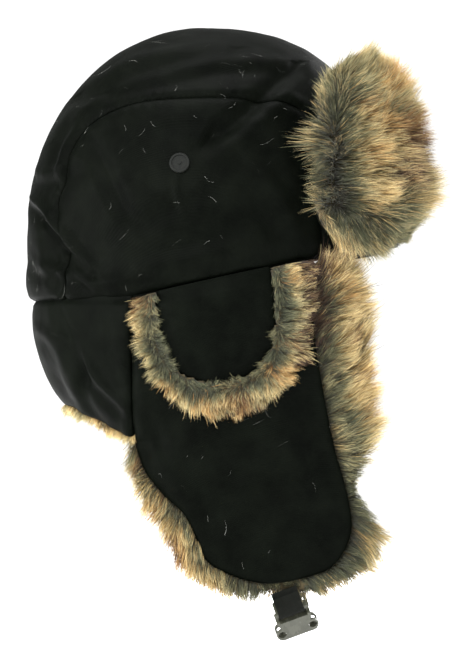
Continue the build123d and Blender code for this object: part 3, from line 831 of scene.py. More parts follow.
FLAP_FOLDS = [
    ([(44, -60), (40, -100), (30, -128), (12, -150)], 8.0, 1.4, 0.6),
    ([(30, -112), (0, -116), (-34, -112), (-62, -104)], 9.0, 1.3, 0.6),
    ([(20, -150), (-10, -140), (-50, -142), (-78, -150)], 10.0, 1.2, 0.5),
    ([(0, -180), (-26, -172), (-60, -176)], 8.0, 0.9, 0.4),
    ([(46, -86), (34, -104), (28, -122)], 4.0, -1.0, 0.4),
]


def crown_height(q, p, side):
    """How far the crown's cloth stands off its form at side-view places q and points p."""
    shift = 0.0 if side < 0 else 5.0
    # Towards the middle of the crown the two sides' folds fade into each other.
    near = smooth(np.abs(p[:, 0]) / 26.0)
    own = 1.9 * folds(q + [shift * 1.2, -shift], CROWN_FOLDS) * near
    seed = 3 if side < 0 else 11
    rough = 0.75 * noise(p, 34.0, 5) + 0.42 * noise(p * [1, 1, 1.6], 15.0, 7) + 0.12 * noise(p, 6.0, seed)
    above = q[:, 1] - hem(q[:, 0])
    rear = smooth((q[:, 0] - 5.0) / 70.0)
    roll = (2.0 + 0.5 * rear) * np.sin(math.pi * np.clip((above + 3.0) / 30.0, 0, 1)) ** 1.3
    turned = -5.0 * (1 - np.clip(above / 4.5, 0, 1)) ** 2
    return own + rough + roll + turned


# ---------------------------------------------------------------- crown
SEAM_LINE = [
    (94, -24), (92.5, -2), (94.5, 20), (98, 36), (96.5, 48), (91.5, 61), (88.5, 75), (78.5, 91),
    (60, 101.5), (36, 107), (0, 108.5), (-36, 107), (-60, 100), (-69, 84), (-71, 60), (-71, 30), (-70, 4),
]
SEAM_SMOOTH = [
    (94, -24), (95, 0), (96.5, 24), (97, 42), (93.5, 60), (87.5, 76), (76, 92), (58, 102), (34, 107),
    (0, 108.5), (-36, 107), (-60, 100), (-69, 84), (-71, 60), (-71, 30), (-70, 4),
]
seam_lines = {-1: resample(catmull(SEAM_LINE), 1.6), 1: resample(catmull(SEAM_SMOOTH), 1.6)}


def seam_groove(d, share, side):
    """The sewn seam: a narrow valley, a soft shoulder and small puckers along it."""
    pucker = np.sin(share * 230.0 + 3.0 * np.sin(share * 31.0 + side)) * np.exp(-d / 5.0) * 0.35
    valley = -1.5 * np.exp(-((d / 1.5) ** 2))
    shoulder = 0.8 * np.exp(-(((d - 5.0) / 4.0) ** 2))
    return valley + shoulder + pucker * smooth(d / 2.5)


def make_side_panel(name, side):
    seam = seam_lines[side]
    foot_y = np.linspace(seam[-1][0], seam[0][0], 90)
    foot = np.stack([foot_y, hem(foot_y) - 0.5], 1)
    outline = np.vstack([seam, foot[1:-1]])
    q, tris = region(outline, 1.9)
    base, normals = form(lambda at: crown_surface(at, side), q)
    d, _, share = line_distance(q, seam)
    height = crown_height(q, base, side) + seam_groove(d, share, side)
    outer = base + normals * height[:, None]
    inner = outer - normals * CLOTH
    tris = add_layer(f"crown_side_panel_{name}_cloth", outer, inner, tris, normals, TWILL,
                     with_crown, [f"crown_side_panel_{name}"])
    lint(f"crown_side_{name}_lint", outer, tris, normals, PANEL_LINT, 700 + side, with_crown)


def crown_ray(x, angle):
    """The crown's point at a place across and an angle round its side view."""
    low = np.full(x.shape, 1.0)
    high = np.full(x.shape, 170.0)
    for _ in range(34):
        r = (low + high) / 2
        y = PEAK_Y + r * np.cos(angle)
        z = WAIST + r * np.sin(angle)
        width, length, centre = crown_section(z)
        outside = (x / width) ** 2 + ((y - centre) / length) ** 2 > 1
        outside |= z > TOP
        high = np.where(outside, r, high)
        low = np.where(outside, low, r)
    return np.stack([x, PEAK_Y + low * np.cos(angle), WAIST + low * np.sin(angle)], -1)


def hem_angle(x, toward):
    """Angle of the crown's hem in a plane across the hat, at its back or front."""
    y = np.full(x.shape, 60.0 if toward > 0 else -60.0)
    for _ in range(12):
        width, length, centre = crown_section(hem(y))
        y = centre + toward * length * np.sqrt(np.clip(1 - (x / width) ** 2, 0, 1))
    return np.arctan2(hem(y) - WAIST, y - PEAK_Y) % (2 * math.pi)


def make_centre_panel():
    nu, nv = 300, 121
    v = np.linspace(0, 1, nu)
    w = np.linspace(-1, 1, nv)
    halves = {}
    for side in (-1, 1):
        seam = resample(seam_lines[side], 1.0)
        s = np.linspace(0, len(seam) - 1, nu)
        line = np.stack([np.interp(s, np.arange(len(seam)), seam[:, k]) for k in (0, 1)], 1)
        point = crown_surface(line, side)
        halves[side] = (np.abs(point[:, 0]), np.arctan2(line[:, 1] - WAIST, line[:, 0] - PEAK_Y))
    points = np.zeros((nu, nv, 3))
    for j, wj in enumerate(w):
        side = -1 if wj < 0 else 1
        reach, angle = halves[side]
        x = reach * abs(wj)
        start = hem_angle(np.array([x[0]]), 1)[0]
        start = start - 2 * math.pi if start > math.pi else start
        end = hem_angle(np.array([x[-1]]), -1)[0]
        seam_share = angle % (2 * math.pi)
        seam_angle = np.where(seam_share > 1.6 * math.pi, seam_share - 2 * math.pi, seam_share)
        seam_part = (seam_angle - seam_angle[0]) / (seam_angle[-1] - seam_angle[0])
        part = v + (seam_part - v) * wj**2
        points[:, j] = crown_ray(side * x, start + (end - start) * part)
    away = points - CROWN_MIDDLE
    normals = grid_normals(points, away)
    flat = points.reshape(-1, 3)
    height = np.zeros(len(flat))
    for side in (-1, 1):
        mine = (flat[:, 0] < 0) if side < 0 else (flat[:, 0] >= 0)
        q = flat[mine][:, 1:]
        seam3 = crown_surface(seam_lines[side], side)
        # Nearest seam point in space.
        p = flat[mine]
        best = np.full(len(p), 1e9)
        share = np.zeros(len(p))
        for k in range(0, len(seam3), 2):
            dist = np.linalg.norm(p - seam3[k], axis=1)
            closer = dist < best
            best = np.where(closer, dist, best)
            share = np.where(closer, k / (len(seam3) - 1), share)
        best = np.maximum(best - 0.4, 0)
        height[mine] = crown_height(q, p, side) + seam_groove(best, share, side)
    outer = flat + normals.reshape(-1, 3) * height[:, None]
    inner = outer - normals.reshape(-1, 3) * CLOTH
    normals = normals.reshape(-1, 3)
    tris = add_layer("crown_centre_panel_cloth", outer, inner, grid_tris(nu, nv), normals, TWILL,
                     with_crown, ["crown_centre_panel", "crown_wadding"])
    lint("crown_centre_lint", outer, tris, normals, CENTRE_LINT, 711, with_crown)


for side_name, side_sign in SIDES.items():
    make_side_panel(side_name, side_sign)
make_centre_panel()


# ---------------------------------------------------------------- flaps' cloth
def flap_blend(obj):
    """Bakes the object's placement into its mesh."""
    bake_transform(obj)


def cover_blend(obj):
    """Bakes the object's placement into its mesh."""
    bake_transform(obj)


EAR_EDGE = [
    (49.5, -110), (43, -130), (30, -146), (18, -157), (10, -172), (3, -187), (-14, -197), (-37, -202),
    (-62, -198), (-80, -190), (-91, -168), (-87, -140), (-80, -114), (-74, -84), (-68.5, -52), (-66, -20),
]
ear_edge = catmull(EAR_EDGE)


def ear_outline(top=9.0):
    """The ear flap's cloth, with its top edge hidden under the crown's hem."""
    top_y = np.linspace(-65, 49.5, 40)
    top_line = np.stack([top_y, hem(top_y) + top], 1)
    seam = np.stack([np.full(30, 49.5), np.linspace(hem(49.5) + top, -108, 32)[1:-1]], 1)
    return np.vstack([top_line, seam, ear_edge])


def edge_round(d, radius, depth):
    """A cloth edge that rolls in over its last few millimetres."""
    t = np.clip(d / radius, 0, 1)
    return -depth * (1 - np.sqrt(np.clip(1 - (1 - t) ** 2, 0, 1)))


def make_ear_flap(side_name, side):
    attach = lambda obj: flap_blend(obj)
    outline = ear_outline()
    q, tris = region(outline, 2.2)
    base, normals = form(lambda at: skirt_surface(at, side), q)
    d_edge, _, _ = line_distance(q, np.vstack([[49.5, -104], ear_edge]))
    seam_line = np.array([(49.5, 0.0), (49.5, -112.0)])
    d_seam, _, share = line_distance(q, seam_line)
    seed = 2 if side < 0 else 17
    height = 1.3 * folds(q + (0 if side < 0 else 4), FLAP_FOLDS)
    height += 0.8 * noise(base, 30, seed) + 0.35 * noise(base, 13, seed + 1) + 0.1 * noise(base, 6, 4)
    height += 1.6 * smooth(d_edge / 22.0) + edge_round(d_edge, 4.0, 3.0)
    height += seam_groove(d_seam, share * 0.5, side)
    under = smooth((q[:, 1] - hem(q[:, 0]) + 3.0) / 6.0)
    height = height * (1 - under) - 2.2 * under
    outer = base + normals * height[:, None]
    inner = base - normals * (4.0 - edge_round(d_edge, 4.0, 1.5))[:, None]
    inner = inner + 0.25 * (outer - base)
    tris = add_layer(f"ear_flap_{side_name}_cloth", outer, inner, tris, normals, TWILL_FLAP, attach,
                     [f"ear_flap_shell_{side_name}", f"ear_flap_wadding_{side_name}"])
    lint(f"ear_flap_{side_name}_lint", outer, tris, normals, PANEL_LINT, 720 + side, attach)


def neck_point(f, z, side, outset=0.0):
    """A point of the neck flap's form: f runs from the back's middle to the ear flap's seam."""
    a, b, c = neck_axes(z, outset)
    a0, b0, c0 = neck_axes(z)
    seam_angle = np.arccos(np.clip((SEAM_Y + 0.5 - c0) / b0, -1, 1))
    angle = f * seam_angle
    x = a * np.sin(angle)
    at_seam = a0 * np.sin(seam_angle)
    x = x + (seam_x(z) - at_seam) * smooth(f) ** 1.5
    return np.stack([side * x, c + b * np.cos(angle), z], -1)


def neck_bottom(f, side, drop=0.0):
    """Height of the neck flap's lower edge round the neck."""
    z = np.full(np.shape(f), -92.0)
    for _ in range(5):
        y = neck_point(f, z, side)[..., 1]
        z = np.interp(y, [50, 66, 90, 115], [-110, -103, -91, -87])
    return z - drop


def make_neck_half(side_name, side):
    nu, nv = 100, 84
    f = np.linspace(0, 1, nu)
    bottom = neck_bottom(f, side)
    t = np.linspace(0, 1, nv)
    t = t - 0.12 * np.sin(2 * math.pi * t) / (2 * math.pi)
    fg = np.repeat(f[:, None], nv, 1)
    top = -13.0
    z = top + (bottom[:, None] - top) * t[None, :]
    base = neck_point(fg, z, side)
    normals = grid_normals(base, base - NECK_MIDDLE)
    flat = base.reshape(-1, 3)
    n = normals.reshape(-1, 3)
    q = flat[:, 1:]
    d_edge = ((z - bottom[:, None]) * 1.15).ravel()
    arc = np.abs(flat[:, 0] - side * seam_x(flat[:, 2]))
    d_seam = np.hypot(arc, flat[:, 1] - SEAM_Y)
    seed = 4 if side < 0 else 21
    near = smooth(np.abs(flat[:, 0]) / 22.0)
    height = 1.6 * folds(q + (0 if side < 0 else 4), NECK_FOLDS) * near
    height += (0.9 * noise(flat, 26, 31) + 0.45 * noise(flat * [1, 1, 0.6], 11, 32)
               + 0.12 * noise(flat, 5, seed))
    height += 2.0 * np.sin(math.pi * np.clip((z.ravel() + 20) / (bottom.repeat(nv) + 20), 0, 1)) ** 0.8
    height += edge_round(d_edge, 4.0, 3.0)
    height += seam_groove(d_seam, (z.ravel() + 110) / 200.0, side)
    under = smooth((flat[:, 2] - HEM_BACK_Z + 2.0) / 5.0)
    height = height * (1 - under) - 1.5 * under
    outer = flat + n * height[:, None]
    inner = flat - n * (4.0 - edge_round(d_edge, 4.0, 1.5))[:, None] + 0.25 * (outer - flat)
    # The two halves stand for one CAD neck flap, so only the right one names it.
    replaced = ["neck_flap_shell", "neck_flap_wadding"] if side_name == "right" else []
    add_layer(f"neck_flap_{side_name}_cloth", outer, inner, grid_tris(nu, nv), n, TWILL_FLAP,
              lambda obj: flap_blend(obj), replaced)


for side_name, side_sign in SIDES.items():
    make_ear_flap(side_name, side_sign)
    make_neck_half(side_name, side_sign)

# ---------------------------------------------------------------- ear covers
COVER_EDGE = [
    (36, -18), (35, -38), (31, -52), (22, -67), (6, -74), (-12, -75), (-28, -69), (-38, -57), (-42, -42),
    (-42, -22), (-40.5, -2),
]
cover_edge = catmull(COVER_EDGE)
BORDER_EDGE = [
    (43.5, -20), (43.5, -38), (39, -55), (30, -71), (18, -83), (4, -89), (-16, -91), (-32, -84), (-45, -73),
    (-54, -59), (-59.5, -44), (-61.5, -22), (-61, 4),
]
border_edge = catmull(BORDER_EDGE)


def make_cover_panel(side_name, side):
    top_line = hem_row(-40.5, 36, 30, 1.5)
    outline = np.vstack([cover_edge, top_line])
    q, tris = region(outline, 2.0)
    base, normals = form(lambda at: skirt_surface(at, side, 4.2), q)
    d_edge, _, _ = line_distance(q, cover_edge)
    below = hem(q[:, 0]) - q[:, 1]
    height = 2.2 * smooth(d_edge / 16.0) + edge_round(d_edge, 3.0, 2.0) - 3.4 * (1 - smooth(below / 9.0))
    height += 0.4 * noise(base, 22, 41) + 0.25 * noise(base, 9, 42)
    outer = base + normals * height[:, None]
    inner = base - normals * 3.4
    add_layer(f"ear_cover_{side_name}_cloth", outer, inner, tris, normals, TWILL_FLAP,
              lambda obj: cover_blend(obj), [f"ear_cover_shell_{side_name}"])


# ---------------------------------------------------------------- cover borders
def make_cover_fur(side_name, side):
    attach = lambda obj: cover_blend(obj)
    top_line = hem_row(-61, 43.5, 40, 0.5)
    outline = np.vstack([border_edge, top_line])
    hole_top = np.linspace(-40.5, 36, 20)
    hole = np.vstack([cover_edge, np.stack([hole_top, hem(hole_top) + 12], 1)])
    shrink = hole * [0.97, 0.97] + [-0.1, -1.0]
    q, tris = region(outline, 2.4, holes=[shrink])
    base, normals = form(lambda at: skirt_surface(at, side, 2.0), q)
    d_out, _, _ = line_distance(q, border_edge)
    d_in, _, _ = line_distance(q, cover_edge)
    below = hem(q[:, 0]) - q[:, 1]
    pad = 4.2 * np.clip(d_out / 8.0, 0, 1) ** 0.5 * np.clip((d_in + 2) / 5.0, 0, 1) ** 0.5
    pad *= 0.25 + 0.75 * smooth(below / 8.0)
    pad += 0.5 * noise(base, 7.0, 71)
    outer = base + normals * pad[:, None]
    inner = base - normals * 1.2
    tris = add_layer(f"ear_cover_{side_name}_pile_backing", outer, inner, tris, normals, UNDERFUR,
                     attach, [f"ear_cover_fur_{side_name}"])
    # Guard hair over the border.
    rng = np.random.default_rng(300 + side)
    count = COVER_HAIRS
    pick, weights = scatter(rng, outer, tris, count)
    roots = spread(weights, pick, tris, outer)
    n = unit(spread(weights, pick, tris, normals))
    flat = roots[:, 1:]
    d_in, _, _ = line_distance(flat, cover_edge)
    middle = np.array([-3.0, -30.0])
    away = unit(flat - middle)
    away3 = np.stack([np.zeros(count), away[:, 0], away[:, 1]], 1)
    down = np.array([0.0, 0.05, -1.0])
    outwards = smooth((d_in - 0.5) / 7.0)
    lay = away3 * (-0.45 + 1.45 * outwards)[:, None] + 0.30 * down
    front = smooth((-36.0 - flat[:, 0]) / 18.0)
    lay = lay + front[:, None] * np.array([0.0, -0.7, 0.25])
    lay = lay + 0.40 * np.stack([np.zeros(count), noise(roots, 9, 81), noise(roots, 9, 82)], 1)
    length = 6.5 + 3.5 * outwards + 2.5 * noise(roots, 8, 83) - 0.5 * front
    tone = 0.02 + 0.40 * smooth((d_in - 2.0) / 7.0)
    # The column of near-black UMBER spots along the border's front edge (y about -54 to -59) is partly dark
    # brown hair and partly painted shadow in the gap between the border and the ear flap's fringe.
    spots = [((-20, -84), 8, RUST, 0.8), ((-43, -66), 7, AMBER, 0.7), ((-50, -46), 6, RUST, 0.4),
             ((-57, 3), 7, UMBER, 0.95), ((-58, -8), 7, UMBER, 0.95), ((-59, -20), 7, UMBER, 0.95),
             ((-59, -32), 7, UMBER, 0.95), ((-58, -44), 7, UMBER, 0.95), ((-54, -58), 7, UMBER, 0.8),
             ((-49, -8), 5, AMBER, 0.6), ((6, -86), 7, AMBER, 0.6), ((43, -22), 6, RUST, 0.7),
             ((-30, -88), 5, UMBER, 0.7), ((30, -76), 7, AMBER, 0.4), ((-4, -88), 6, RUST, 0.5)]
    colour = colour_mix(rng, roots, tone, spots, 0.085, 3)
    strands(f"ear_cover_{side_name}_fur", roots - n * 0.6, n * 0.8, lay, length, colour,
            attach, width=0.34, seed=31 + side, clump=0.5, clump_size=8.0)


for side_name, side_sign in SIDES.items():
    make_cover_panel(side_name, side_sign)
    make_cover_fur(side_name, side_sign)

# ---------------------------------------------------------------- ear flap fur
FRINGE_EDGE = [
    (49, -112), (45.5, -134), (38, -150), (27, -164), (19, -181), (9, -195), (-10, -205), (-36, -206),
    (-58, -206), (-78, -201), (-92, -192), (-99, -180), (-98, -166), (-93, -152), (-90.5, -140),
]
FRINGE_EDGE += [(-93, -126), (-97, -112), (-97, -84), (-96, -56), (-92, -26), (-88, 2)]
fringe_edge = catmull(FRINGE_EDGE)
# Where the front fringe is longer or shorter: height, reach, and share of the length added.
FRINGE_WAVES = [(-140, 9, -0.62), (-168, 9, 1.25), (-112, 11, 0.30), (-60, 8, -0.2), (-36, 9, 0.2)]


def strap_offset(q):
    """Distance across from the chin strap's line, for side-view places low on the flap."""
    lean = math.radians(20.0)
    across = (q[:, 0] + 46.5) * math.cos(lean) - (q[:, 1] + 206.0) * math.sin(lean)
    return np.where(q[:, 1] < -194.0, np.abs(across), 99.0)


def make_flap_fur(side_name, side):
    attach = lambda obj: flap_blend(obj)
    top_line = hem_row(-88, 49, 44, -3.0)
    seam = np.stack([np.full(20, 49.0), np.linspace(hem(49.0) - 3.0, -110, 22)[1:-1]], 1)
    outline = np.vstack([fringe_edge, top_line, seam])
    q, tris = region(outline, 3.0)
    base, normals = form(lambda at: skirt_surface(at, side, PILE_OUTSET), q)
    d_out, _, _ = line_distance(q, fringe_edge)
    flat_in = inside(q, ear_outline())
    d_cloth, _, _ = line_distance(q, ear_edge)
    proud = np.where(flat_in, 0.0, np.minimum(d_cloth, 3.0))
    proud = np.where(strap_offset(q) < 11.0, -2.5, proud)
    outer = base + normals * proud[:, None]
    pile = 6.5 * np.clip(d_out / 9.0, 0, 1) ** 0.5 + 0.7 + 0.7 * noise(base, 9, 91)
    inner = base - normals * pile[:, None]
    tris = add_layer(f"ear_flap_{side_name}_pile_backing", outer, inner, tris, normals, UNDERFUR,
                     attach, [f"ear_flap_fur_{side_name}"])

    # The rim that shows round the cloth, combed away from the cloth's edge.
    rng = np.random.default_rng(400 + side)
    count = FRINGE_HAIRS
    pick, weights = scatter(rng, outer, tris, count * 4)
    places = spread(weights, pick, tris, q)
    d_cloth, _, share = line_distance(places, ear_edge)
    shown = ~inside(places, ear_outline()) | (d_cloth < 2.5)
    shown &= (strap_offset(places) > 9.0) | (places[:, 1] > -204.0)
    rows = np.flatnonzero(shown)[:count]
    pick, weights, places = pick[rows], weights[rows], places[rows]
    d_cloth, share = d_cloth[rows], share[rows]
    d_rim, _, _ = line_distance(places, fringe_edge)
    at_rim = 1 - smooth(d_rim / 6.0)
    roots = spread(weights, pick, tris, outer)
    n = unit(spread(weights, pick, tris, normals))
    m = len(roots)
    lower = smooth((-118.0 - places[:, 1]) / 60.0)
    step = ear_edge[np.clip((share * (len(ear_edge) - 1)).astype(int), 1, len(ear_edge) - 2)]
    outwards = unit(places - step + 1e-6)
    centre = np.array([-18.0, -110.0])
    outwards = unit(0.45 * outwards + unit(places - centre))
    lay = np.stack([side * (-0.10 - 0.55 * at_rim * rng.random(m)), outwards[:, 0], outwards[:, 1]], 1)
    lay = lay + 0.30 * np.stack([np.zeros(m), noise(roots, 14, 101), noise(roots, 14, 102)], 1)
    lay[:, 2] -= 0.35 * lower
    length = 11.0 + 4.5 * noise(roots, 13, 103) + 5.0 * smooth(d_cloth / 14.0)
    fore = smooth((-58.0 - places[:, 0]) / 14.0)
    level = places[:, 1]
    for height, reach, change in FRINGE_WAVES:
        length = length * (1 + fore * change * np.exp(-(((level - height) / reach) ** 2)))
    wisp = np.exp(-(((level + 166) / 11) ** 2)) * fore
    lay = lay + wisp[:, None] * np.array([0.0, -0.4, -0.55])
    length = length * (1 - 0.45 * (strap_offset(places) < 15.0) - 0.25 * (strap_offset(places) < 9.5))
    length = np.clip(length, 3.0, None)
    rear = smooth((places[:, 0] + 20.0) / 30.0)
    lay[:, 2] -= 0.45 * rear
    tone = 0.04 + 0.38 * smooth((d_cloth - 3.0) / 8.0) + 0.36 * rear * smooth(d_cloth / 4.0)
    stray = (rng.random(m) < 0.02) & (fore > 0.5) & (places[:, 1] > -78) & (places[:, 1] < -8)
    # The column of near-black UMBER spots along the fringe's front (y about -65 to -67) is partly dark brown
    # hair and partly painted shadow in the gap between the cover's border and this fringe.
    spots = [((-65, 4), 7, UMBER, 0.95), ((-66, -10), 7, UMBER, 0.95), ((-66, -24), 7, UMBER, 0.95),
             ((-66, -38), 7, UMBER, 0.95), ((-67, -52), 6, UMBER, 0.9), ((-80, 2), 7, RUST, 0.8),
             ((-82, -20), 7, AMBER, 0.6), ((-88, -34), 6, HONEY, 0.8), ((-86, -50), 6, RUST, 0.5),
             ((-94, -96), 5, RUST, 0.5), ((-80, -68), 7, SLATE, 0.8), ((-84, -100), 8, SLATE, 0.7),
             ((-100, -122), 8, HONEY, 0.7), ((36, -150), 9, AMBER, 0.5), ((44, -124), 8, RUST, 0.45),
             ((16, -186), 8, AMBER, 0.4), ((-104, -170), 12, HONEY, 0.8), ((-74, -206), 9, HONEY, 0.7),
             ((4, -196), 9, HONEY, 0.7), ((40, -140), 8, HONEY, 0.6), ((-84, -64), 8, HONEY, 0.75),
             ((-88, -82), 8, HONEY, 0.75), ((-80, -38), 8, HONEY, 0.75), ((28, -160), 7, HONEY, 0.6)]
    colour = np.where(stray, UMBER, colour_mix(rng, roots, tone, spots, 0.085, 5))
    length = length * np.where(stray, 1.45, 1.0)
    strands(f"ear_flap_{side_name}_fringe", roots - n * 0.8, n * 0.55, lay, length, colour,
            attach, width=0.36, seed=41 + side, clump=0.55, clump_size=10.0, lean=0.82)

    # The lining's pile, towards the head.
    count = FLAP_LINING_HAIRS
    pick, weights = scatter(rng, inner, tris, count)
    roots = spread(weights, pick, tris, inner)
    n = -unit(spread(weights, pick, tris, normals))
    places = spread(weights, pick, tris, q)
    d_out, _, _ = line_distance(places, fringe_edge)
    forward = -0.25 + 0.5 * noise(roots, 20, 111)
    down = -1.0 + 0.4 * noise(roots, 16, 112)
    lay = np.stack([np.zeros(count), forward, down], 1)
    away = unit(places - np.array([-20.0, -100.0]))
    rim = (1 - smooth(d_out / 14.0))[:, None]
    lay = lay * (1 - 0.6 * rim) + rim * np.stack([np.zeros(count), away[:, 0], away[:, 1]], 1)
    n = n * (1 - 0.6 * rim) + 0.9 * rim * np.stack([np.zeros(count), away[:, 0], away[:, 1]], 1)
    length = 11.0 + 3.0 * noise(roots, 12, 113)
    tone = 0.30 + 0.10 * noise(roots, 25, 114)
    colour = colour_mix(rng, roots, tone, [((-60, -60), 20, RUST, 0.4), ((0, -120), 22, SLATE, 0.5)], 0.09, 7)
    strands(f"ear_flap_{side_name}_lining_fur", roots - n * 0.6, n, lay, length, colour,
            attach, width=0.62, seed=51 + side, clump=0.45, clump_size=9.0)


def make_neck_fur(side_name, side):
    attach = lambda obj: flap_blend(obj)
    nu, nv = 60, 50
    f = np.linspace(0, 1, nu)
    bottom = neck_bottom(f, side, 1.0)
    t = np.linspace(0, 1, nv)
    fg = np.repeat(f[:, None], nv, 1)
    z = -24.0 + (bottom[:, None] + 24.0) * t[None, :]
    base = neck_point(fg, z, side, PILE_OUTSET)
    normals = grid_normals(base, base - NECK_MIDDLE).reshape(-1, 3)
    flat = base.reshape(-1, 3)
    d_edge = (z - bottom[:, None]).ravel()
    pile = 6.5 * np.clip(d_edge / 9.0, 0, 1) ** 0.5 + 0.7 + 0.7 * noise(flat, 9, 121)
    inner = flat - normals * pile[:, None]
    replaced = ["neck_flap_fur"] if side_name == "right" else []
    tris = add_layer(f"neck_flap_{side_name}_pile_backing", flat, inner, grid_tris(nu, nv), normals,
                     UNDERFUR_WARM, attach, replaced)
    rng = np.random.default_rng(500 + side)
    count = NECK_LINING_HAIRS
    pick, weights = scatter(rng, inner, tris, count)
    roots = spread(weights, pick, tris, inner)
    n = -unit(spread(weights, pick, tris, normals))
    lay = np.stack([np.zeros(count), 0.1 * np.ones(count), -np.ones(count)], 1)
    lay = lay + 0.35 * np.stack([noise(roots, 15, 122), noise(roots, 15, 123), np.zeros(count)], 1)
    length = 11.0 + 3.0 * noise(roots, 12, 124)
    colour = colour_mix(rng, roots, 0.36, [((60, -60), 14, RUST, 0.4)], 0.09, 9)
    strands(f"neck_flap_{side_name}_lining_fur", roots - n * 0.6, n, lay, length, colour,
            attach, width=0.62, seed=61 + side, clump=0.45, clump_size=9.0)
    # Short fringe that hangs below the cloth's edge.
    count = NECK_FRINGE_HAIRS
    share = rng.random(count)
    low = neck_bottom(share, side)
    up = rng.random(count) ** 1.3 * 4.0
    roots = neck_point(share, low + up, side, -4.5)
    out = unit(roots - NECK_MIDDLE)
    lay = np.stack([0.25 * out[:, 0], 0.25 * out[:, 1], -np.ones(count)], 1)
    lay = lay + 0.25 * np.stack([noise(roots, 9, 125), noise(roots, 9, 126), np.zeros(count)], 1)
    length = 6.5 + 2.0 * noise(roots, 9, 127)
    colour = colour_mix(rng, roots, 0.42, [((70, -100), 8, RUST, 0.35)], 0.08, 11)
    strands(f"neck_flap_{side_name}_fringe", roots, out * 0.25, lay, length, colour,
            attach, width=0.38, seed=71 + side, clump=0.4, clump_size=6.0, lean=0.9)


for side_name, side_sign in SIDES.items():
    make_flap_fur(side_name, side_sign)
    make_neck_fur(side_name, side_sign)

# ---------------------------------------------------------------- visor
VISOR_REACH = 159.0  # no hair reaches further forward than this
VISOR_EDGE = [
    (0, 125), (20, 127), (40, 131), (56, 129), (68, 119), (74, 101), (77, 77), (80, 55), (82, 36), (78, 20),
    (60, 13.5), (30, 13), (0, 13),
]
half_edge = catmull(VISOR_EDGE)
visor_edge = np.vstack([half_edge, (half_edge * [-1, 1])[::-1][1:-1]])


def visor_away(p):
    away = p - np.array([0.0, 2.5, 0.0])
    away[:, 2] = 0
    return away


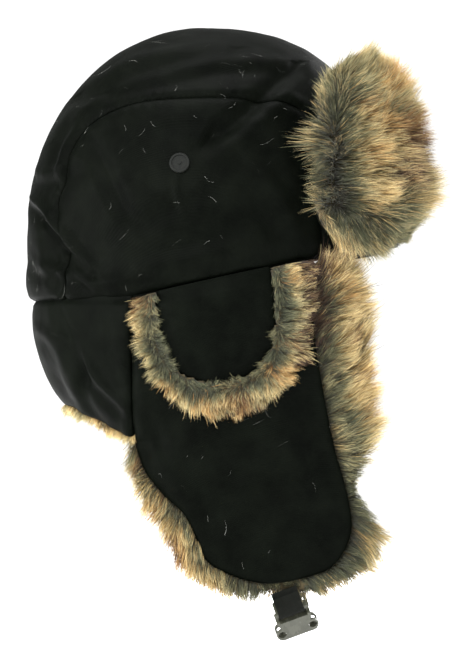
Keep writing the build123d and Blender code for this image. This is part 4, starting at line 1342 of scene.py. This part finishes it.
def make_visor():
    q, tris = region(visor_edge, 2.4)
    base, normals = form(lambda at: visor_surface(at, 1.0), q, visor_away)
    d_edge, _, _ = line_distance(q, visor_edge, closed=True)
    ripple = 0.7 * noise(base, 24, 131) + 0.3 * noise(base, 10, 132)
    outer = base + normals * (3.4 + edge_round(d_edge, 4.0, 2.0))[:, None]
    inner = base - normals * (0.8 + 0.5 * ripple + edge_round(d_edge, 4.0, 2.0))[:, None]
    add_layer("visor_back_cloth", outer, inner, tris, normals, TWILL, with_visor,
              ["visor_shell", "visor_interlining"])

    # Backing of the pile, plumped over the visor's face and rolled over its edge.
    edge2 = visor_edge * [1.04, 1.02] + [0, 0.2]
    edge2[:, 1] += 5.0 * (1 - smooth(np.abs(edge2[:, 0]) / 66.0)) * (1 - smooth((edge2[:, 1] - 14.0) / 20.0))
    q, tris = region(edge2, 2.6)
    base, normals = form(lambda at: visor_surface(at, 5.0), q, visor_away)
    d_edge, _, _ = line_distance(q, edge2, closed=True)
    plump = 10.0 * np.clip(d_edge / 22.0, 0, 1) ** 0.55 + 0.8 * noise(base, 10, 133)
    plump *= 1 - 0.5 * smooth((q[:, 1] - 92.0) / 30.0)
    outer = base + normals * plump[:, None]
    inner = base - normals * 0.9
    tris = add_layer("visor_pile_backing", outer, inner, tris, normals, UNDERFUR, with_visor,
                     ["visor_fur"])

    for side_name, side in SIDES.items():
        rng = np.random.default_rng(600 + side)
        count = VISOR_HAIRS
        pick, weights = scatter(rng, outer, tris, count * 3)
        roots = spread(weights, pick, tris, outer)
        places = spread(weights, pick, tris, q)
        n = unit(spread(weights, pick, tris, normals))
        d_edge, _, _ = line_distance(places, edge2, closed=True)
        own = roots[:, 0] * side > 0
        # The rim and the ends carry more hair than the middle of the face.
        keep = own & (rng.random(len(roots)) < 0.62 + 0.38 * np.exp(-d_edge / 12.0))
        rows = np.flatnonzero(keep)[:count]
        roots, places, n = roots[rows], places[rows], n[rows]
        m = len(roots)
        x, z, y = places[:, 0] * side, places[:, 1], roots[:, 1]
        end = smooth((x - 62.0) / 18.0)
        fore = smooth((-92.0 - y) / 22.0)
        # The pile lies forward on the face, up at the turned edge and down at the ends' low corners.
        fan = (0.34 - 0.95 * (1 - fore)) * (1 - smooth((z - 30.0) / 34.0)) + 0.85 * smooth((z - 66.0) / 50.0)
        lay = np.stack([side * (0.15 * smooth(x / 24.0) + 0.5 * end), -0.85 + 0.25 * end, fan], 1)
        corner = (1 - smooth((-106.0 - y) / 10.0)) * (1 - smooth((z - 22.0) / 20.0))
        lay = lay + corner[:, None] * np.array([0.0, 0.45, -1.7])
        lay[:, 2] -= 0.9 * (1 - corner) * (1 - smooth((z - 18.0) / 6.0))
        # Behind the parting at the visor's end the pile lies back over the crown.
        behind = smooth((y + 86.0 + 6.0 * noise(roots, 9, 147)) / 15.0) * smooth((z - 24.0) / 18.0)
        rise = -0.10 + 0.75 * smooth((z - 84.0) / 30.0)
        back = np.stack([np.full(m, 0.30 * side), np.full(m, 1.0), rise], 1)
        lay = lay * (1 - behind)[:, None] + behind[:, None] * back
        top = smooth((z - 112.0) / 14.0)[:, None]
        upright = np.stack([0.15 * side * smooth(x / 24.0), -0.15 + 0.5 * behind + 0.5 * fore, np.ones(m)], 1)
        lay = lay * (1 - top) + top * upright
        lay = lay + 0.30 * np.stack([noise(roots, 17, 141), noise(roots, 17, 142), noise(roots, 17, 143)], 1)
        low = 1 - smooth((z - 14.0) / 26.0)
        length = 16.0 + 5.0 * noise(roots, 12, 144)
        length = length * (1 - fore * 0.70 * low)
        length = length + 5.0 * fore * np.exp(-(((z - 54.0) / 16.0) ** 2))
        length = length + behind * (9.0 + 10.0 * noise(roots, 10, 146)) * (1 - smooth((z - 86.0) / 22.0))
        length = length - 4.0 * fore * top[:, 0] - 8.0 * end * top[:, 0]
        length = np.clip(length + 5.0 * corner, 3.5, 32.0)
        tone = 0.34 + 0.16 * noise(roots, 22, 145) - 0.16 * fore * (1 - smooth((z - 20.0) / 20.0))
        spots = [((-86, 110), 10, SLATE, 0.85), ((-78, 94), 11, SLATE, 0.95), ((-78, 76), 12, SLATE, 0.95),
                 ((-78, 58), 12, SLATE, 0.95), ((-80, 40), 12, SLATE, 0.9), ((-92, 30), 12, SLATE, 0.85),
                 ((-108, 30), 11, SLATE, 0.7), ((-116, 40), 11, SLATE, 0.75), ((-115, 59), 12, UMBER, 0.8),
                 ((-122, 88), 13, RUST, 0.85), ((-126, 76), 10, UMBER, 0.6), ((-104, 93), 9, AMBER, 0.75),
                 ((-112, 116), 11, AMBER, 0.7), ((-98, 72), 9, AMBER, 0.5), ((-100, 50), 9, HONEY, 0.6),
                 ((-94, 122), 11, SMOKE, 0.85), ((-94, 104), 7, RUST, 0.3), ((-92, 84), 8, SMOKE, 0.6),
                 ((-72, 118), 9, SMOKE, 0.7), ((-67, 80), 4, HONEY, 0.6)]
        colour = colour_mix(rng, roots, tone, spots, 0.095, 13)
        strands(f"visor_{side_name}_fur", roots - n * 0.8, n, lay, length, colour,
                with_visor, width=0.36, seed=81 + side, clump=0.42, clump_size=11.0, lean=0.76,
                longest=(VISOR_REACH + y) / 0.95)


make_visor()


# ---------------------------------------------------------------- inside of the crown
def make_lining():
    """Quilted lining: a ring of rows round the head, up to a closed top."""
    nu, nv = 220, 90
    turn = np.linspace(0, 2 * math.pi, nu, endpoint=False)
    rise = np.linspace(0, 1, nv)
    peak = TOP - LINING_INSET
    around = np.repeat(turn[:, None], nv, 1)
    # Levels are spread so that the rows stay even over the top.
    level = np.sin(rise * math.pi / 2)
    start_y = PEAK_Y + 110 * np.cos(turn)
    low = hem(start_y) + 1.5
    z = low[:, None] + (peak * 0.9985 - low[:, None]) * level[None, :]
    width, length, centre = crown_section(z, LINING_INSET)
    p = np.stack([width * np.sin(around), centre + length * np.cos(around), z], -1)
    away = p - CROWN_MIDDLE
    n = grid_normals(p, away)
    arc = around * 95.0
    diagonal = [np.abs(np.sin((arc * s / 2 + z) * math.pi / 34.0)) for s in (-1, 1)]
    quilt = np.minimum(diagonal[0], diagonal[1])
    puff = 2.4 * np.sqrt(quilt)
    inner = (p - n * puff[..., None]).reshape(-1, 3)
    outer = (p + n * 0.3).reshape(-1, 3)
    add_layer("crown_quilted_lining", outer, inner, grid_tris(nu, nv, wrap=True), n.reshape(-1, 3), LINING,
              with_crown,
              ["crown_lining_side_right", "crown_lining_side_left", "crown_lining_centre"])

    # Sweatband with rounded edges and small puckers round it.
    nv = 22
    v = np.linspace(0, 1, nv)
    low = hem(PEAK_Y + 105 * np.cos(turn)) + 0.8
    z = low[:, None] + BAND_HEIGHT * v[None, :]
    around = np.repeat(turn[:, None], nv, 1)
    width, length, centre = crown_section(z, BAND_INSET)
    p = np.stack([width * np.sin(around), centre + length * np.cos(around), z], -1)
    n = grid_normals(p, p - CROWN_MIDDLE)
    bulge = 0.9 * np.sin(math.pi * v) ** 0.5 + 0.16 * np.sin(around * 150) * np.sin(math.pi * v)
    inner = (p - n * bulge[..., None]).reshape(-1, 3)
    outer = (p + n * 0.5).reshape(-1, 3)
    add_layer("sweatband_tape", outer, inner, grid_tris(nu, nv, wrap=True), n.reshape(-1, 3), BINDING,
              with_crown, ["sweatband"])


make_lining()


# ---------------------------------------------------------------- CAD parts that stay
def finish_node(name, mat):
    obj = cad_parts[name]
    obj = obj if isinstance(obj, bpy.types.Object) else bpy.data.objects[obj]
    obj.data.materials.clear()
    obj.data.materials.append(mat)


for name in ("right", "left"):
    finish_node(f"crown_stud_{name}", SNAP_METAL)
    finish_node(f"crown_stud_washer_{name}", WASHER_METAL)
    finish_node(f"ear_cover_snap_{name}", SNAP_METAL)
    finish_node(f"chin_strap_{name}", WEBBING)
for name in ("buckle_socket", "buckle_plug", "buckle_prong_front", "buckle_prong_rear"):
    finish_node(name, PLASTIC)
finish_node("strap_keeper_left", BINDING)
finish_node("brow_binding", BINDING)

# ---------------------------------------------------------------- stage, light and camera
floor_mat, floor_tree, floor_shader = material("floor_paper")
paper = noise_texture(floor_tree, coordinates(floor_tree), 0.01, 2.0)
floor_tree.links.new(ramp(floor_tree, paper, [(0.3, (0.90, 0.90, 0.90)), (0.7, (0.93, 0.93, 0.93))]),
                     floor_shader.inputs["Base Color"])
settings(floor_shader, Roughness=0.9, Emission_Color=(1.0, 1.0, 1.0, 1.0), Emission_Strength=0.8)
floor_size = 8000.0
corners = np.array([(-1, -1, 0), (1, -1, 0), (1, 1, 0), (-1, 1, 0)], float) * floor_size + [0, 0, FLOOR_Z]
floor = new_mesh("floor", corners, np.array([(0, 1, 2), (0, 2, 3)]), floor_mat)

bpy.context.scene.view_settings.view_transform = "Standard"
world = bpy.data.worlds.new("studio")
bpy.context.scene.world = world
world.use_nodes = True
background = world.node_tree.nodes["Background"]
background.inputs[0].default_value = (1.0, 1.0, 1.0, 1.0)
# The backdrop is white to the camera, and its light on the hat is lower than it looks.
seen = world.node_tree.nodes.new("ShaderNodeLightPath").outputs["Is Camera Ray"]
brightness = maths(world.node_tree, "ADD", maths(world.node_tree, "MULTIPLY", seen, 0.60), 0.55)
world.node_tree.links.new(brightness, background.inputs[1])


def area_light(name, place, aim, size, power):
    data = bpy.data.lights.new(name, "AREA")
    data.shape = "SQUARE"
    data.size = size
    data.energy = power
    lamp = bpy.data.objects.new(name, data)
    bpy.context.scene.collection.objects.link(lamp)
    lamp.location = place
    lamp.rotation_euler = (Vector(aim) - Vector(place)).to_track_quat("-Z", "Y").to_euler()


area_light("key", (-1.4, 0.5, 1.2), (0, 0, -0.03), 0.8, 46)
area_light("fill", (-1.5, -1.2, 0.3), (0, 0, -0.05), 1.0, 18)
area_light("top", (0.2, 0.0, 1.6), (0, 0, 0), 1.2, 36)
area_light("back", (-0.7, 1.7, 0.35), (0, 0.05, -0.03), 0.9, 52)
area_light("rim", (1.2, -1.0, 0.5), (0, 0, -0.05), 1.0, 34)

camera_data = bpy.data.cameras.new("camera")
camera = bpy.data.objects.new("camera", camera_data)
bpy.context.scene.collection.objects.link(camera)
CAMERA_DISTANCE = 4.0
SENSOR = 36.0
VIEW_HEIGHT = 0.42835  # metres seen from top to bottom at the hat
camera.location = (-CAMERA_DISTANCE, -0.0166, -0.040)
camera.rotation_euler = (math.pi / 2, 0, -math.pi / 2)
camera_data.sensor_fit = "VERTICAL"
camera_data.sensor_height = SENSOR
camera_data.lens = SENSOR * CAMERA_DISTANCE / VIEW_HEIGHT
bpy.context.scene.camera = camera
